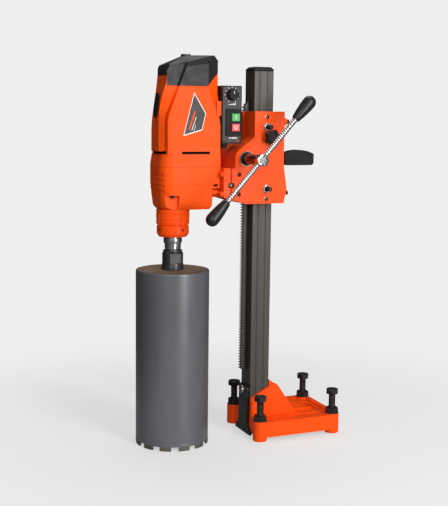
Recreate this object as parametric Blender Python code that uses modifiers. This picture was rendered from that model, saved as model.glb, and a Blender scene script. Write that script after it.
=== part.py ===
"""Core drill rig: a levelling base, a square column with a rack, a hand-cranked carriage, and a geared drill motor
with its control box, spindle and core bit.

Lengths below are in millimetres and become metres as each shape is made. The origin is on the column's centre line
at floor level. The bit is towards -X, the crank towards -Y, and +Z is up.
"""

import math

import bmesh
import bpy
from mathutils import Matrix, Vector

MM = 0.001
GAP = 0.3
RUNNING_GAP = 0.25
PRESSURE_ANGLE = math.radians(20)

# Column and rack
COLUMN_SIDE = 47.0
COLUMN_WALL = 4.5
COLUMN_TOP = 812.0
CAP_TOP = 821.0
FOOT_THICKNESS = 8.0
GROOVE_OFFSET = 9.0
GROOVE_HALF_WIDTH = 0.9
GROOVE_DEPTH = 0.9
RACK_MODULE = 2.0
RACK_TEETH = 95
RACK_BOTTOM = 146.0
RACK_BODY = 9.3
RACK_WIDTH = 11.0
RACK_Y = 4.0

# Base
SCREW_X = (-19.2, 161.0)
SCREW_Y = 73.0
BOSS_RADIUS = 16.0
BOSS_TOP = 45.5
BOSS_PROUD = 1.0
WALL_BOTTOM = 10.0
DECK_BOTTOM = 36.0
DECK_TOP = 41.0
WALL_THICKNESS = 7.0
GUSSET_THICKNESS = 8.0
GUSSET_TOP = 123.0
STRAP_THICKNESS = 6.0
STRAP_TOP = 112.0
LEVELLER_RADIUS = 7.8
LEVELLER_FLATS = 26.0
LEVELLER_TOP = 101.5
NUT_HEIGHT = 13.0

# Carriage and feed
CARRIAGE_TOP = 725.0
CARRIAGE_BOTTOM = 527.0
CARRIAGE_HALF_DEPTH = 60.0
CARRIAGE_CAVITY_X = 30.0
CARRIAGE_CAVITY_Y = 40.0
CARRIAGE_REAR = 33.5
CARRIAGE_FRONT = -36.5
MOUNT_FACE = -89.0
ADAPTER_BOLT_Z = 567.0
PAD_THICKNESS = 5.6
PINION_TEETH = 20
PINION_Z = 624.0
PINION_WIDTH = 14.0
FEED_SHAFT_RADIUS = 8.0
BUSHING_RADIUS = 13.0
FEED_BOSS_RADIUS = 25.4
NEAR_ADJUSTERS = (("near_adjuster_upper", -7.5, 692.0), ("near_adjuster_lower", -7.5, 559.0))
REAR_ADJUSTERS = (("rear_adjuster_upper", -12.0, 703.5), ("rear_adjuster_lower", -12.0, 546.0))
REAR_BOSS_RADIUS = 8.0
REAR_BOSS_END = 60.5
LOCK_X = -2.5
LOCK_Z = 669.5
HANDLE_Z = 622.0
HANDLE_GRIP_START = 62.0
HANDLE_GRIP_END = 131.5
CRANK_ANGLE = math.radians(48)
CRANK_Y = -136.0
CRANK_BAR_RADIUS = 6.0
CRANK_REACH = 176.0
GRIP_START = 114.0
GRIP_RADIUS = 14.0

# Drill motor
SPINDLE_X = -200.5
MOTOR_SHAFT_X = -154.5
MOTOR_LEFT = -238.0
MOTOR_RIGHT = -108.4
MOTOR_HALF_DEPTH = 42.0
CASE_WALL = 3.0
CASE_BOTTOM = 515.3
CASE_TOP = 606.0
HOUSING_TOP = 775.0
LEAN_START = 705.0
LEAN = 10.0
END_CAP_TOP = 843.0
NECK_BOTTOM = 456.0
NECK_RADIUS = 35.9
SPINDLE_RADIUS = 17.5

# Core bit
BIT_RADIUS = 80.0
BIT_WALL = 3.0
BIT_TOP = 384.0
SEGMENT_COUNT = 12
SEGMENT_HEIGHT = 10.0
SLOT_WIDTH = 16.0
HUB_RADIUS = 22.7
HUB_TOP = 427.0

# Reduction gears: (teeth, module)
FIRST_MODULE = 1.0
SECOND_MODULE = 1.5
SMALL_TEETH = 12
FIRST_GEAR_TEETH = 36
OUTPUT_GEAR_TEETH = 32

# Control box
BOX_LEFT = -107.8
BOX_RIGHT = -62.0
BOX_FRONT = -46.0
BOX_BACK = 4.0
BOX_BOTTOM = 656.0
BOX_TOP = 778.0
KNOB_X = -85.0
KNOB_Z = 759.0
GLAND_X = -94.0
GLAND_Y = -24.0
BUTTON_X = -78.0
START_Z = 711.5
STOP_Z = 690.0
BUTTON_WIDTH = 18.4
BUTTON_HEIGHT = 16.4

RACK_ROOT = -COLUMN_SIDE / 2 - GAP - RACK_BODY
RACK_PITCH_LINE = RACK_ROOT - 1.2 * RACK_MODULE
PINION_RADIUS = PINION_TEETH * RACK_MODULE / 2
PINION_X = RACK_PITCH_LINE - PINION_RADIUS
RACK_PITCH = math.pi * RACK_MODULE

COLOURS = {
    "orange_paint": ((0.86, 0.12, 0.02), 0.38, 0.0),
    "black_plastic": ((0.035, 0.035, 0.038), 0.5, 0.0),
    "black_steel": ((0.03, 0.028, 0.027), 0.42, 0.6),
    "column_steel": ((0.075, 0.065, 0.06), 0.45, 0.7),
    "chrome": ((0.8, 0.8, 0.8), 0.12, 1.0),
    "steel": ((0.5, 0.5, 0.5), 0.3, 1.0),
    "brass": ((0.6, 0.42, 0.16), 0.35, 1.0),
    "bit_paint": ((0.055, 0.06, 0.07), 0.4, 0.2),
    "copper": ((0.55, 0.25, 0.12), 0.4, 1.0),
    "rubber": ((0.02, 0.02, 0.02), 0.8, 0.0),
    "green_plastic": ((0.02, 0.4, 0.08), 0.4, 0.0),
    "red_plastic": ((0.6, 0.02, 0.03), 0.4, 0.0),
}

PLANES = {
    "XY": (0, 0, 0),
    "XZ": (math.pi / 2, 0, 0),
    "YZ": (math.pi / 2, 0, math.pi / 2),
}
AXES = {
    "X": (0, math.pi / 2, 0),
    "Y": (-math.pi / 2, 0, 0),
    "Z": (0, 0, 0),
}


# ---------------------------------------------------------------- scene helpers


def clear_scene():
    for obj in list(bpy.data.objects):
        bpy.data.objects.remove(obj)


def new_collection(name):
    collection = bpy.data.collections.new(name)
    bpy.context.scene.collection.children.link(collection)
    return collection


def material(key):
    found = bpy.data.materials.get(key)
    if found:
        return found
    colour, roughness, metallic = COLOURS[key]
    made = bpy.data.materials.new(key)
    made.use_nodes = True
    shader = made.node_tree.nodes["Principled BSDF"]
    shader.inputs["Base Color"].default_value = (*colour, 1)
    shader.inputs["Roughness"].default_value = roughness
    shader.inputs["Metallic"].default_value = metallic
    made.diffuse_color = (*colour, 1)
    return made


def add_object(name, mesh, finish, smooth=None):
    """A part with its finish, or a cutter where the finish is None."""
    obj = bpy.data.objects.new(name, mesh)
    if finish is None:
        CUTTERS.objects.link(obj)
        obj.hide_render = True
        obj.display_type = "WIRE"
    else:
        PARTS.objects.link(obj)
        mesh.materials.append(material(finish))
    if smooth is not None:
        mesh.shade_smooth()
        mesh.set_sharp_from_angle(angle=math.radians(smooth))
    return obj


def place(obj, centre, rotation=(0, 0, 0)):
    obj.location = Vector(centre) * MM
    obj.rotation_euler = rotation
    return obj


# ---------------------------------------------------------------- shape helpers


def box(name, low, high, finish, bevel=0.0):
    """A box from its lowest to its highest corner."""
    size = [b - a for a, b in zip(low, high)]
    centre = [(a + b) / 2 for a, b in zip(low, high)]
    bm = bmesh.new()
    bmesh.ops.create_cube(bm, size=MM)
    bmesh.ops.scale(bm, vec=size, verts=bm.verts)
    mesh = bpy.data.meshes.new(name)
    bm.to_mesh(mesh)
    bm.free()
    obj = place(add_object(name, mesh, finish), centre)
    if bevel:
        add_bevel(obj, bevel)
    return obj


def add_bevel(obj, width, segments=1):
    bevel = obj.modifiers.new("Edges", "BEVEL")
    bevel.width = width * MM
    bevel.segments = segments
    bevel.limit_method = "ANGLE"
    bevel.angle_limit = math.radians(40)


def cylinder(name, radius, start, end, axis, finish, sides=32):
    """A cylinder along a world axis, from the centre of one end to the other end's place on the axis."""
    index = "XYZ".index(axis)
    length = end - start[index]
    centre = list(start)
    centre[index] += length / 2
    bm = bmesh.new()
    bmesh.ops.create_cone(
        bm, cap_ends=True, segments=sides, radius1=radius * MM, radius2=radius * MM, depth=abs(length) * MM
    )
    mesh = bpy.data.meshes.new(name)
    bm.to_mesh(mesh)
    bm.free()
    return place(add_object(name, mesh, finish, smooth=35), centre, AXES[axis])


def turned(name, profile, centre, axis, finish, sides=32):
    """A profile of (radius, height) turned round an axis, listed down its outer side."""
    mesh = bpy.data.meshes.new(name)
    points = [(radius * MM, 0, height * MM) for radius, height in profile]
    edges = [(i, i + 1) for i in range(len(points) - 1)]
    if profile[0][0] > 0:
        edges.append((len(points) - 1, 0))
    mesh.from_pydata(points, edges, [])
    obj = place(add_object(name, mesh, finish), centre, AXES[axis])
    screw = obj.modifiers.new("Turn", "SCREW")
    screw.axis = "Z"
    screw.steps = sides
    screw.render_steps = sides
    screw.use_merge_vertices = True
    screw.merge_threshold = 0.00001
    screw.use_smooth_shade = False
    return obj


def plate(name, loops, thickness, plane, centre, finish, smooth=35):
    """Flat outlines in millimetres, filled and given a thickness about their plane."""
    curve = bpy.data.curves.new(name, "CURVE")
    curve.dimensions = "2D"
    curve.fill_mode = "BOTH"
    curve.extrude = thickness / 2 * MM
    for loop in loops:
        spline = curve.splines.new("POLY")
        spline.points.add(len(loop) - 1)
        for point, (across, up) in zip(spline.points, loop):
            point.co = (across * MM, up * MM, 0, 1)
        spline.use_cyclic_u = True
    guide = place(bpy.data.objects.new(name, curve), centre, PLANES[plane])
    bpy.context.scene.collection.objects.link(guide)
    bpy.context.view_layer.update()
    mesh = bpy.data.meshes.new_from_object(guide.evaluated_get(bpy.context.evaluated_depsgraph_get()))
    world = guide.matrix_world.copy()
    bpy.data.objects.remove(guide)
    bm = bmesh.new()
    bm.from_mesh(mesh)
    bmesh.ops.remove_doubles(bm, verts=bm.verts, dist=0.000001)
    bmesh.ops.recalc_face_normals(bm, faces=bm.faces)
    bm.to_mesh(mesh)
    bm.free()
    mesh.materials.clear()
    obj = add_object(name, mesh, finish, smooth)
    obj.matrix_world = world
    return obj


def loft(name, sections, finish):
    """A closed body through like outlines, each a (height, points) pair."""
    bm = bmesh.new()
    rings = [[bm.verts.new((x * MM, y * MM, z * MM)) for x, y in points] for z, points in sections]
    bm.faces.new(rings[0])
    bm.faces.new(rings[-1])
    for lower, upper in zip(rings, rings[1:]):
        for i in range(len(lower)):
            j = (i + 1) % len(lower)
            bm.faces.new((lower[i], lower[j], upper[j], upper[i]))
    bmesh.ops.recalc_face_normals(bm, faces=bm.faces)
    mesh = bpy.data.meshes.new(name)
    bm.to_mesh(mesh)
    bm.free()
    return add_object(name, mesh, finish, smooth=30)


def boolean(obj, other, operation):
    modifier = obj.modifiers.new(other.name, "BOOLEAN")
    modifier.operation = operation
    modifier.solver = "EXACT"
    modifier.object = other
    return obj


def cut(obj, *cutters):
    for cutter in cutters:
        boolean(obj, cutter, "DIFFERENCE")
    return obj


def join(obj, *others):
    """Adds shapes that are made as cutters, so that they aren't parts themselves."""
    for other in others:
        boolean(obj, other, "UNION")
    return obj


# ---------------------------------------------------------------- outlines


def arc(centre, radius, start, end, steps):
    """Points on an arc, with its angles in degrees."""
    found = []
    for i in range(steps + 1):
        angle = math.radians(start + (end - start) * i / steps)
        found.append((centre[0] + radius * math.cos(angle), centre[1] + radius * math.sin(angle)))
    return found


def ring(radius, sides=24, centre=(0, 0)):
    return arc(centre, radius, 0, 360 - 360 / sides, sides - 1)


def rounded_rectangle(low, high, radius, steps=3):
    corners = (
        ((high[0] - radius, high[1] - radius), 0),
        ((low[0] + radius, high[1] - radius), 90),
        ((low[0] + radius, low[1] + radius), 180),
        ((high[0] - radius, low[1] + radius), 270),
    )
    found = []
    for centre, start in corners:
        found += arc(centre, radius, start, start + 90, steps)
    return found


def hexagon(flats, turn=0.0):
    return arc((0, 0), flats / math.sqrt(3), turn, turn + 300, 5)


def involute_angle(radius, base):
    """The polar angle that an involute has turned through at this radius."""
    if radius <= base:
        return 0.0
    pressure = math.acos(base / radius)
    return math.tan(pressure) - pressure


def gear_outline(teeth, module, phase, addendum, dedendum, backlash):
    """Involute teeth, with one of them centred on the phase angle."""
    pitch = teeth * module / 2
    base = pitch * math.cos(PRESSURE_ANGLE)
    tip = pitch + addendum * module
    root = pitch - dedendum * module
    half = math.pi / (2 * teeth) - backlash / (2 * pitch) + involute_angle(pitch, base)
    start = max(root, base)
    radii = [start + (tip - start) * i / 2 for i in range(3)]
    flank = [(radius, half - involute_angle(radius, base)) for radius in radii]
    if root < base:
        flank.insert(0, (root, half))
    points = []
    for tooth in range(teeth):
        middle = phase + 2 * math.pi * tooth / teeth
        for radius, angle in flank:
            points.append((radius * math.cos(middle - angle), radius * math.sin(middle - angle)))
        for radius, angle in reversed(flank):
            points.append((radius * math.cos(middle + angle), radius * math.sin(middle + angle)))
    return points


def lobed_outline(radius, depth, lobes, steps=40):
    found = []
    for i in range(steps):
        angle = 2 * math.pi * i / steps
        reach = radius + depth * math.cos(lobes * angle)
        found.append((reach * math.cos(angle), reach * math.sin(angle)))
    return found


def slotted_outline(outer, inner, slots, share):
    """A round outline with square slots, which take this share of each pitch."""
    found = []
    for i in range(slots):
        middle = 2 * math.pi * i / slots
        half = math.pi / slots * (1 - share)
        for angle in (middle - half, middle, middle + half):
            found.append((outer * math.cos(angle), outer * math.sin(angle)))
        gap = math.pi / slots * share
        for angle in (middle + half, middle + half + 2 * gap):
            found.append((inner * math.cos(angle), inner * math.sin(angle)))
    return found


def meeting_point(first, first_reach, second, second_reach):
    """Where circles about two centres on the X axis cross, on the +Y side."""
    apart = second - first
    along = (first_reach**2 - second_reach**2 + apart**2) / (2 * apart)
    return first + along, math.sqrt(first_reach**2 - along**2)


# ---------------------------------------------------------------- stand


def make_base():
    low_x = -COLUMN_SIDE / 2 - GAP
    high_x = SCREW_X[1] + BOSS_RADIUS - BOSS_PROUD
    half_y = SCREW_Y + BOSS_RADIUS - BOSS_PROUD
    half_outline = [(low_x, half_y), (SCREW_X[1], half_y), (high_x, SCREW_Y)]
    outline = half_outline + [(x, -y) for x, y in reversed(half_outline)]
    wall_top = BOSS_TOP - BOSS_PROUD
    middle = (WALL_BOTTOM + wall_top) / 2
    base = plate("base_casting", [outline], wall_top - WALL_BOTTOM, "XY", (0, 0, middle), "orange_paint")

    inset = WALL_THICKNESS
    pocket = box(
        "cut_pocket",
        (low_x + inset, -half_y + inset, -5),
        (high_x - inset, half_y - inset, DECK_BOTTOM),
        None,
    )
    tray_low = (low_x + 2.5 * inset, -half_y + 2 * inset)
    tray_high = (high_x - 2 * inset, half_y - 2 * inset)
    tray = plate(
        "cut_tray",
        [rounded_rectangle(tray_low, tray_high, 12)],
        20,
        "XY",
        (0, 0, DECK_TOP + 10),
        None,
    )
    cut(base, pocket, tray)

    for i, x in enumerate(SCREW_X):
        for j, y in enumerate((-SCREW_Y, SCREW_Y)):
            join(base, cylinder(f"boss_{i}{j}", BOSS_RADIUS, (x, y, 0), BOSS_TOP, "Z", None, 24))

    rise = COLUMN_SIDE / 2 + GAP
    gusset_front = low_x + 0.6
    trim = 1.0
    gusset = [
        (gusset_front, DECK_BOTTOM + 1),
        (88, DECK_BOTTOM + 1),
        (36, 113),
        (29, 121),
        (21, GUSSET_TOP),
        (16, 116),
        (gusset_front, 88),
    ]
    for side in (-1, 1):
        centre_y = side * (rise - trim + GUSSET_THICKNESS / 2)
        join(base, plate(f"gusset_{side}", [gusset], GUSSET_THICKNESS, "XZ", (0, centre_y, 0), None))
    join(base, box("back_block", (rise - trim, -rise - 1, DECK_BOTTOM + 1), (35, rise + 1, 110), None))
    rim = [(-30, -14), (30, -14), (30, 14), (-30, 14)]
    join(base, plate("anchor_rim", [rim], 9, "XY", (118, 0, DECK_BOTTOM + 5), None))

    slot = arc((20, 0), 8, -90, 90, 6) + arc((-20, 0), 8, 90, 270, 6)
    cut(base, box("cut_notch", (low_x - 20, -rise, -5), (rise, rise, 200), None))
    cut(base, plate("cut_anchor_slot", [slot], 40, "XY", (118, 0, DECK_BOTTOM), None))
    for i, x in enumerate(SCREW_X):
        for j, y in enumerate((-SCREW_Y, SCREW_Y)):
            hole = cylinder(f"cut_leveller_{i}{j}", LEVELLER_RADIUS + GAP, (x, y, -5), 60, "Z", None, 20)
            cut(base, hole)


def make_column():
    half = COLUMN_SIDE / 2
    side = []
    for middle in (-GROOVE_OFFSET, GROOVE_OFFSET):
        side += [
            (middle - GROOVE_HALF_WIDTH, -half),
            (middle, -half + GROOVE_DEPTH),
            (middle + GROOVE_HALF_WIDTH, -half),
        ]
    corner = 1.2
    near = [(-half + corner, -half)] + side + [(half - corner, -half), (half, -half + corner)]
    far = [(-x, -y) for x, y in near]
    inner_half = half - COLUMN_WALL
    inner = [(-inner_half, -inner_half), (inner_half, -inner_half)]
    inner += [(inner_half, inner_half), (-inner_half, inner_half)]
    low = FOOT_THICKNESS + GAP
    tube = plate(
        "column_tube", [near + far, inner], COLUMN_TOP - low, "XY", (0, 0, (COLUMN_TOP + low) / 2), "column_steel"
    )
    cut(tube, cylinder("cut_strap_hole", 5.2, (-40, 0, 100), 0, "X", None, 20))
    box("foot_plate", (-half, -half, 0), (half, half, FOOT_THICKNESS), "black_steel")

    square = [(-half, -half), (half, -half), (half, half), (-half, half)]
    lid_top = [(x * 0.8, y * 0.8) for x, y in square]
    sections = [(COLUMN_TOP + GAP, square), (CAP_TOP - 5, square), (CAP_TOP, lid_top)]
    cap = loft("column_cap", sections, "black_plastic")
    plug = inner_half - GAP
    join(cap, box("cap_plug", (-plug, -plug, COLUMN_TOP - 14), (plug, plug, COLUMN_TOP + 2), None))


def make_rack():
    """A straight rack on the column's front face, with its teeth towards -X."""
    tip = RACK_PITCH_LINE - RACK_MODULE
    slope = math.tan(PRESSURE_ANGLE)
    half_pitch_width = RACK_PITCH / 4 - 0.08
    half_tip = half_pitch_width - RACK_MODULE * slope
    half_root = half_pitch_width + (RACK_ROOT - RACK_PITCH_LINE) * slope
    back = -COLUMN_SIDE / 2 - GAP
    first = PINION_Z - math.ceil((PINION_Z - RACK_BOTTOM) / RACK_PITCH - 1) * RACK_PITCH + RACK_PITCH / 2
    outline = [(back, RACK_BOTTOM), (RACK_ROOT, RACK_BOTTOM)]
    for tooth in range(RACK_TEETH - 1):
        z = first + tooth * RACK_PITCH
        outline += [
            (RACK_ROOT, z - half_root),
            (tip, z - half_tip),
            (tip, z + half_tip),
            (RACK_ROOT, z + half_root),
        ]
    top = first + (RACK_TEETH - 1) * RACK_PITCH
    outline += [(RACK_ROOT, top), (back, top + 8)]
    plate("rack", [outline], RACK_WIDTH, "XZ", (0, RACK_Y, 0), "black_steel", smooth=None)


def make_strap():
    inner = -COLUMN_SIDE / 2 - 2 * GAP
    side = [(41, 2), (36, 12), (26, 20), (22.5, 30), (22, STRAP_TOP - 6), (16, STRAP_TOP)]
    outline = side + [(-y, z) for y, z in reversed(side)]
    strap = plate(
        "column_strap", [outline], STRAP_THICKNESS, "YZ", (inner - STRAP_THICKNESS / 2, 0, 0), "black_steel"
    )
    cut(strap, cylinder("cut_strap_bolt", 5.2, (-60, 0, 100), -10, "X", None, 20))
    outer = inner - STRAP_THICKNESS - GAP
    head = [(0, 8), (4, 7.2), (7.5, 5), (9.5, 2), (10, 0), (4.8, 0), (4.8, -16), (0, -16)]
    bolt = turned("strap_bolt", head, (outer, 0, 100), "X", "steel", 24)
    bolt.rotation_euler = (0, -math.pi / 2, 0)


def make_levellers():
    names = (("front", SCREW_X[0]), ("rear", SCREW_X[1]))
    head_bottom = LEVELLER_TOP - 10.5
    for place_name, x in names:
        for side_name, y in (("near", -SCREW_Y), ("far", SCREW_Y)):
            screw = cylinder(
                f"leveling_screw_{place_name}_{side_name}",
                LEVELLER_RADIUS,
                (x, y, 2),
                head_bottom + 2,
                "Z",
                "black_steel",
                20,
            )
            head_middle = (head_bottom + LEVELLER_TOP) / 2
            head = plate(
                f"head_{place_name}_{side_name}",
                [hexagon(LEVELLER_FLATS)],
                LEVELLER_TOP - head_bottom,
                "XY",
                (x, y, head_middle),
                None,
            )
            join(screw, head)
            low = BOSS_TOP + GAP
            plate(
                f"lock_nut_{place_name}_{side_name}",
                [hexagon(LEVELLER_FLATS, 15), ring(LEVELLER_RADIUS + GAP, 20)],
                NUT_HEIGHT,
                "XY",
                (x, y, low + NUT_HEIGHT / 2),
                "black_steel",
            )


# ---------------------------------------------------------------- carriage


def carriage_outline():
    axis = (PINION_X, PINION_Z)
    boss = arc(axis, FEED_BOSS_RADIUS, 180, 126.7, 4)
    return (
        [
            (CARRIAGE_FRONT, CARRIAGE_TOP),
            (CARRIAGE_REAR, CARRIAGE_TOP),
            (CARRIAGE_REAR, 612),
            (CARRIAGE_REAR + 8.3, 556),
            (CARRIAGE_REAR + 2, 532),
            (CARRIAGE_REAR + 2, CARRIAGE_BOTTOM),
            (-56, CARRIAGE_BOTTOM),
            (MOUNT_FACE, 536.5),
            (MOUNT_FACE, 604),
            (PINION_X - FEED_BOSS_RADIUS, 604),
        ]
        + boss
        + [(CARRIAGE_FRONT, 670)]
    )


def make_carriage():
    depth = CARRIAGE_HALF_DEPTH
    body = plate("carriage_housing", [carriage_outline()], 2 * depth, "XZ", (0, 0, 0), "orange_paint")
    guard_low = (-43, RACK_Y - 12, 655)
    join(body, box("rack_guard", guard_low, (CARRIAGE_FRONT + 3, RACK_Y + 12, CARRIAGE_TOP), None))
    for name, y, z in REAR_ADJUSTERS:
        inner_end = (CARRIAGE_CAVITY_X + 2, y, z)
        join(body, cylinder(f"boss_{name}", REAR_BOSS_RADIUS, inner_end, REAR_BOSS_END, "X", None, 24))
    cavity = box(
        "cut_cavity",
        (-CARRIAGE_CAVITY_X, -CARRIAGE_CAVITY_Y, 400),
        (CARRIAGE_CAVITY_X, CARRIAGE_CAVITY_Y, 900),
        None,
    )
    rack_way = box("cut_rack_way", (-39.5, RACK_Y - 8, 400), (-20, RACK_Y + 8, 900), None)
    chamber = cylinder(
        "cut_pinion_chamber",
        PINION_RADIUS + RACK_MODULE + 1,
        (PINION_X, RACK_Y - PINION_WIDTH / 2 - 1, PINION_Z),
        RACK_Y + PINION_WIDTH / 2 + 1,
        "Y",
        None,
        40,
    )
    bore = cylinder("cut_feed_bore", FEED_SHAFT_RADIUS + 1.5, (PINION_X, -90, PINION_Z), 90, "Y", None, 24)
    seat_depth = 22.0
    near_seat = cylinder(
        "cut_near_seat", BUSHING_RADIUS + GAP, (PINION_X, -90, PINION_Z), -depth + seat_depth, "Y", None, 32
    )
    far_seat = cylinder(
        "cut_far_seat", BUSHING_RADIUS + GAP, (PINION_X, depth - seat_depth, PINION_Z), 90, "Y", None, 32
    )
    cut(body, cavity, rack_way, chamber, bore, near_seat, far_seat)
    for name, x, z in NEAR_ADJUSTERS:
        cut(body, cylinder(f"cut_{name}", 5.3, (x, -90, z), -20, "Y", None, 20))
    for name, y, z in REAR_ADJUSTERS:
        cut(body, cylinder(f"cut_{name}", 5.3, (20, y, z), 80, "X", None, 20))
    cut(body, cylinder("cut_lock_stem", 4.4, (LOCK_X, -90, LOCK_Z), -20, "Y", None, 20))
    cut(body, ADAPTER_POCKET, ADAPTER_BORE)


def make_guide_pads():
    half = COLUMN_SIDE / 2 + GAP
    low = CARRIAGE_BOTTOM + 6
    high = CARRIAGE_TOP - 6
    width = 18.0
    near_back = -half - PAD_THICKNESS
    box("guide_pad_near", (-width, near_back, low), (width, -half, high), "brass")
    box("guide_pad_far", (-width, half, low), (width, half + PAD_THICKNESS, high), "brass")
    box("guide_pad_rear", (half, -width, low), (half + PAD_THICKNESS, width, high), "brass")
    return near_back


def make_adjusters(pad_back):
    for name, x, z in NEAR_ADJUSTERS:
        cylinder(name, 5.0, (x, -82, z), pad_back - GAP, "Y", "black_steel", 20)
        nut_low = -CARRIAGE_HALF_DEPTH - GAP - 5.5
        plate(
            name.replace("adjuster", "adjuster_nut"),
            [hexagon(15), ring(5.3, 20)],
            5.5,
            "XZ",
            (x, nut_low + 2.75, z),
            "chrome",
        )
    rear_pad = COLUMN_SIDE / 2 + GAP + PAD_THICKNESS
    for name, y, z in REAR_ADJUSTERS:
        cylinder(name, 5.0, (rear_pad + GAP, y, z), REAR_BOSS_END + 6.5, "X", "black_steel", 20)


def make_feed():
    r = FEED_SHAFT_RADIUS
    collar = 11.0
    shaft_top = 64.0
    hub_back = 125.0
    stub_end = 129.0
    profile = [(0, stub_end), (r, stub_end), (r, hub_back), (collar, hub_back), (collar, shaft_top)]
    profile += [(r, shaft_top), (r, -shaft_top), (0, -shaft_top)]
    shaft = turned("feed_shaft", profile, (PINION_X, 0, PINION_Z), "Y", "steel", 24)
    shaft.rotation_euler = (math.pi / 2, 0, 0)

    outline = gear_outline(PINION_TEETH, RACK_MODULE, 0, 1.0, 1.2, 0.16)
    plate(
        "feed_pinion", [outline, ring(r + GAP)], PINION_WIDTH, "XZ", (PINION_X, RACK_Y, PINION_Z), "steel", smooth=None
    )

    inner = r + RUNNING_GAP
    outer = BUSHING_RADIUS
    ring_profile = [(inner, 3), (16, 3), (16, 0), (outer, -GAP), (outer, -21), (inner, -21)]
    seat = CARRIAGE_HALF_DEPTH + GAP
    near = turned("near_bushing", ring_profile, (PINION_X, -seat, PINION_Z), "Y", "steel", 24)
    near.rotation_euler = (math.pi / 2, 0, 0)
    turned("far_bushing", ring_profile, (PINION_X, seat, PINION_Z), "Y", "steel", 24)

    low = hub_back + GAP
    high = -CRANK_Y + 11
    profile = [(0, high), (11.5, high), (13, high - 1.5), (13, low), (r + GAP, low), (r + GAP, stub_end + 0.5)]
    profile += [(0, stub_end + 0.5)]
    hub = turned("crank_hub", profile, (PINION_X, 0, PINION_Z), "Y", "chrome", 24)
    hub.rotation_euler = (math.pi / 2, 0, 0)

    centre = Vector((PINION_X, CRANK_Y, PINION_Z))
    reach = CRANK_REACH - 12
    bar = cylinder("crank_bar", CRANK_BAR_RADIUS, (0, 0, -reach), reach, "Z", "chrome", 20)
    place(bar, centre, (0, math.pi / 2 - CRANK_ANGLE, 0))
    bar_hole = cylinder("cut_bar_hole", CRANK_BAR_RADIUS + GAP, (0, 0, -40), 40, "Z", None, 20)
    place(bar_hole, centre, (0, math.pi / 2 - CRANK_ANGLE, 0))
    cut(hub, bar_hole)

    inner = CRANK_BAR_RADIUS + GAP
    top = CRANK_REACH
    profile = [(0, top), (7, top - 1), (12, top - 5), (GRIP_RADIUS, top - 14), (13, top - 26)]
    profile += [(8.5, GRIP_START + 2), (inner, GRIP_START), (inner, reach + 1), (0, reach + 1)]
    for name, turn in (("crank_grip_upper", 0), ("crank_grip_lower", math.pi)):
        grip = turned(name, profile, centre, "Z", "black_plastic", 20)
        grip.rotation_euler = (0, math.pi / 2 - CRANK_ANGLE + turn, 0)


def make_lock_knob():
    face = -CARRIAGE_HALF_DEPTH - 4
    knob = plate(
        "lock_knob", [lobed_outline(15, 2.2, 5)], 16, "XZ", (LOCK_X, face - 12, LOCK_Z), "black_plastic"
    )
    stem = cylinder("knob_stem", 4.0, (LOCK_X, face - 12, LOCK_Z), -CARRIAGE_CAVITY_Y + 1, "Y", None, 20)
    collar = cylinder("knob_collar", 8.0, (LOCK_X, face - 6, LOCK_Z), face, "Y", None, 20)
    join(knob, collar, stem)


def make_rear_handle():
    start = CARRIAGE_REAR + GAP
    end = HANDLE_GRIP_END
    top = arc((end - 36, 561), 79.5, 63.5, 115, 5)
    outline = [(HANDLE_GRIP_START + 2, 609), (end - 8, 607), (end, 613)] + top
    handle = plate("rear_handle", [outline], 26, "XZ", (0, 0, 0), "black_plastic")
    add_bevel(handle, 4, 2)
    join(handle, cylinder("handle_neck", 9, (start, 0, HANDLE_Z), HANDLE_GRIP_START + 12, "X", None, 24))


# ---------------------------------------------------------------- drill motor


def adapter_cutters():
    x = MOUNT_FACE - GAP / 2
    pocket = cylinder("cut_adapter_pocket", 6.6, (x, -80, ADAPTER_BOLT_Z), -53, "Y", None, 24)
    bore = cylinder("cut_adapter_bore", 4.4, (x, -60, ADAPTER_BOLT_Z), -18, "Y", None, 20)
    return pocket, bore


def make_adapter():
    plate_left = MOTOR_RIGHT + 2.6
    body = box("motor_adapter", (plate_left, -56, 541), (MOUNT_FACE - GAP, 56, 604), "orange_paint")
    cut(body, ADAPTER_POCKET, ADAPTER_BORE)
    x = MOUNT_FACE - GAP / 2
    head = plate("adapter_bolt", [hexagon(10)], 5.6, "XZ", (x, -56.2, ADAPTER_BOLT_Z), "chrome")
    join(head, cylinder("adapter_shank", 4, (x, -56, ADAPTER_BOLT_Z), -22, "Y", None, 20))


def motor_section(left, right, half_depth, radius=10.0, inset=0.0):
    low = (left + inset, -half_depth + inset)
    high = (right - inset, half_depth - inset)
    return rounded_rectangle(low, high, max(radius - inset, 3.0))


def shell_sections(levels, inset):
    return [(z, motor_section(left, right, depth, inset=inset)) for z, left, right, depth in levels]


def make_housing():
    levels = [
        (CASE_TOP + GAP, MOTOR_LEFT - 1.5, MOTOR_RIGHT, MOTOR_HALF_DEPTH),
        (650, MOTOR_LEFT - 1, MOTOR_RIGHT, MOTOR_HALF_DEPTH),
        (LEAN_START, MOTOR_LEFT, MOTOR_RIGHT - 1, MOTOR_HALF_DEPTH),
        (HOUSING_TOP, MOTOR_LEFT + LEAN, MOTOR_RIGHT - 2, MOTOR_HALF_DEPTH - 1),
    ]
    body = loft("motor_housing", shell_sections(levels, 0), "orange_paint")
    wall = CASE_WALL
    inner_levels = [(CASE_TOP - 20, *levels[0][1:])] + levels[1:3] + [(HOUSING_TOP + 20, *levels[3][1:])]
    cut(body, loft("cut_housing", shell_sections(inner_levels, wall), None))
    cut(body, box("cut_air_slot", (-196, -60, 633.4), (-132.5, -30, 638.9), None))


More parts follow.
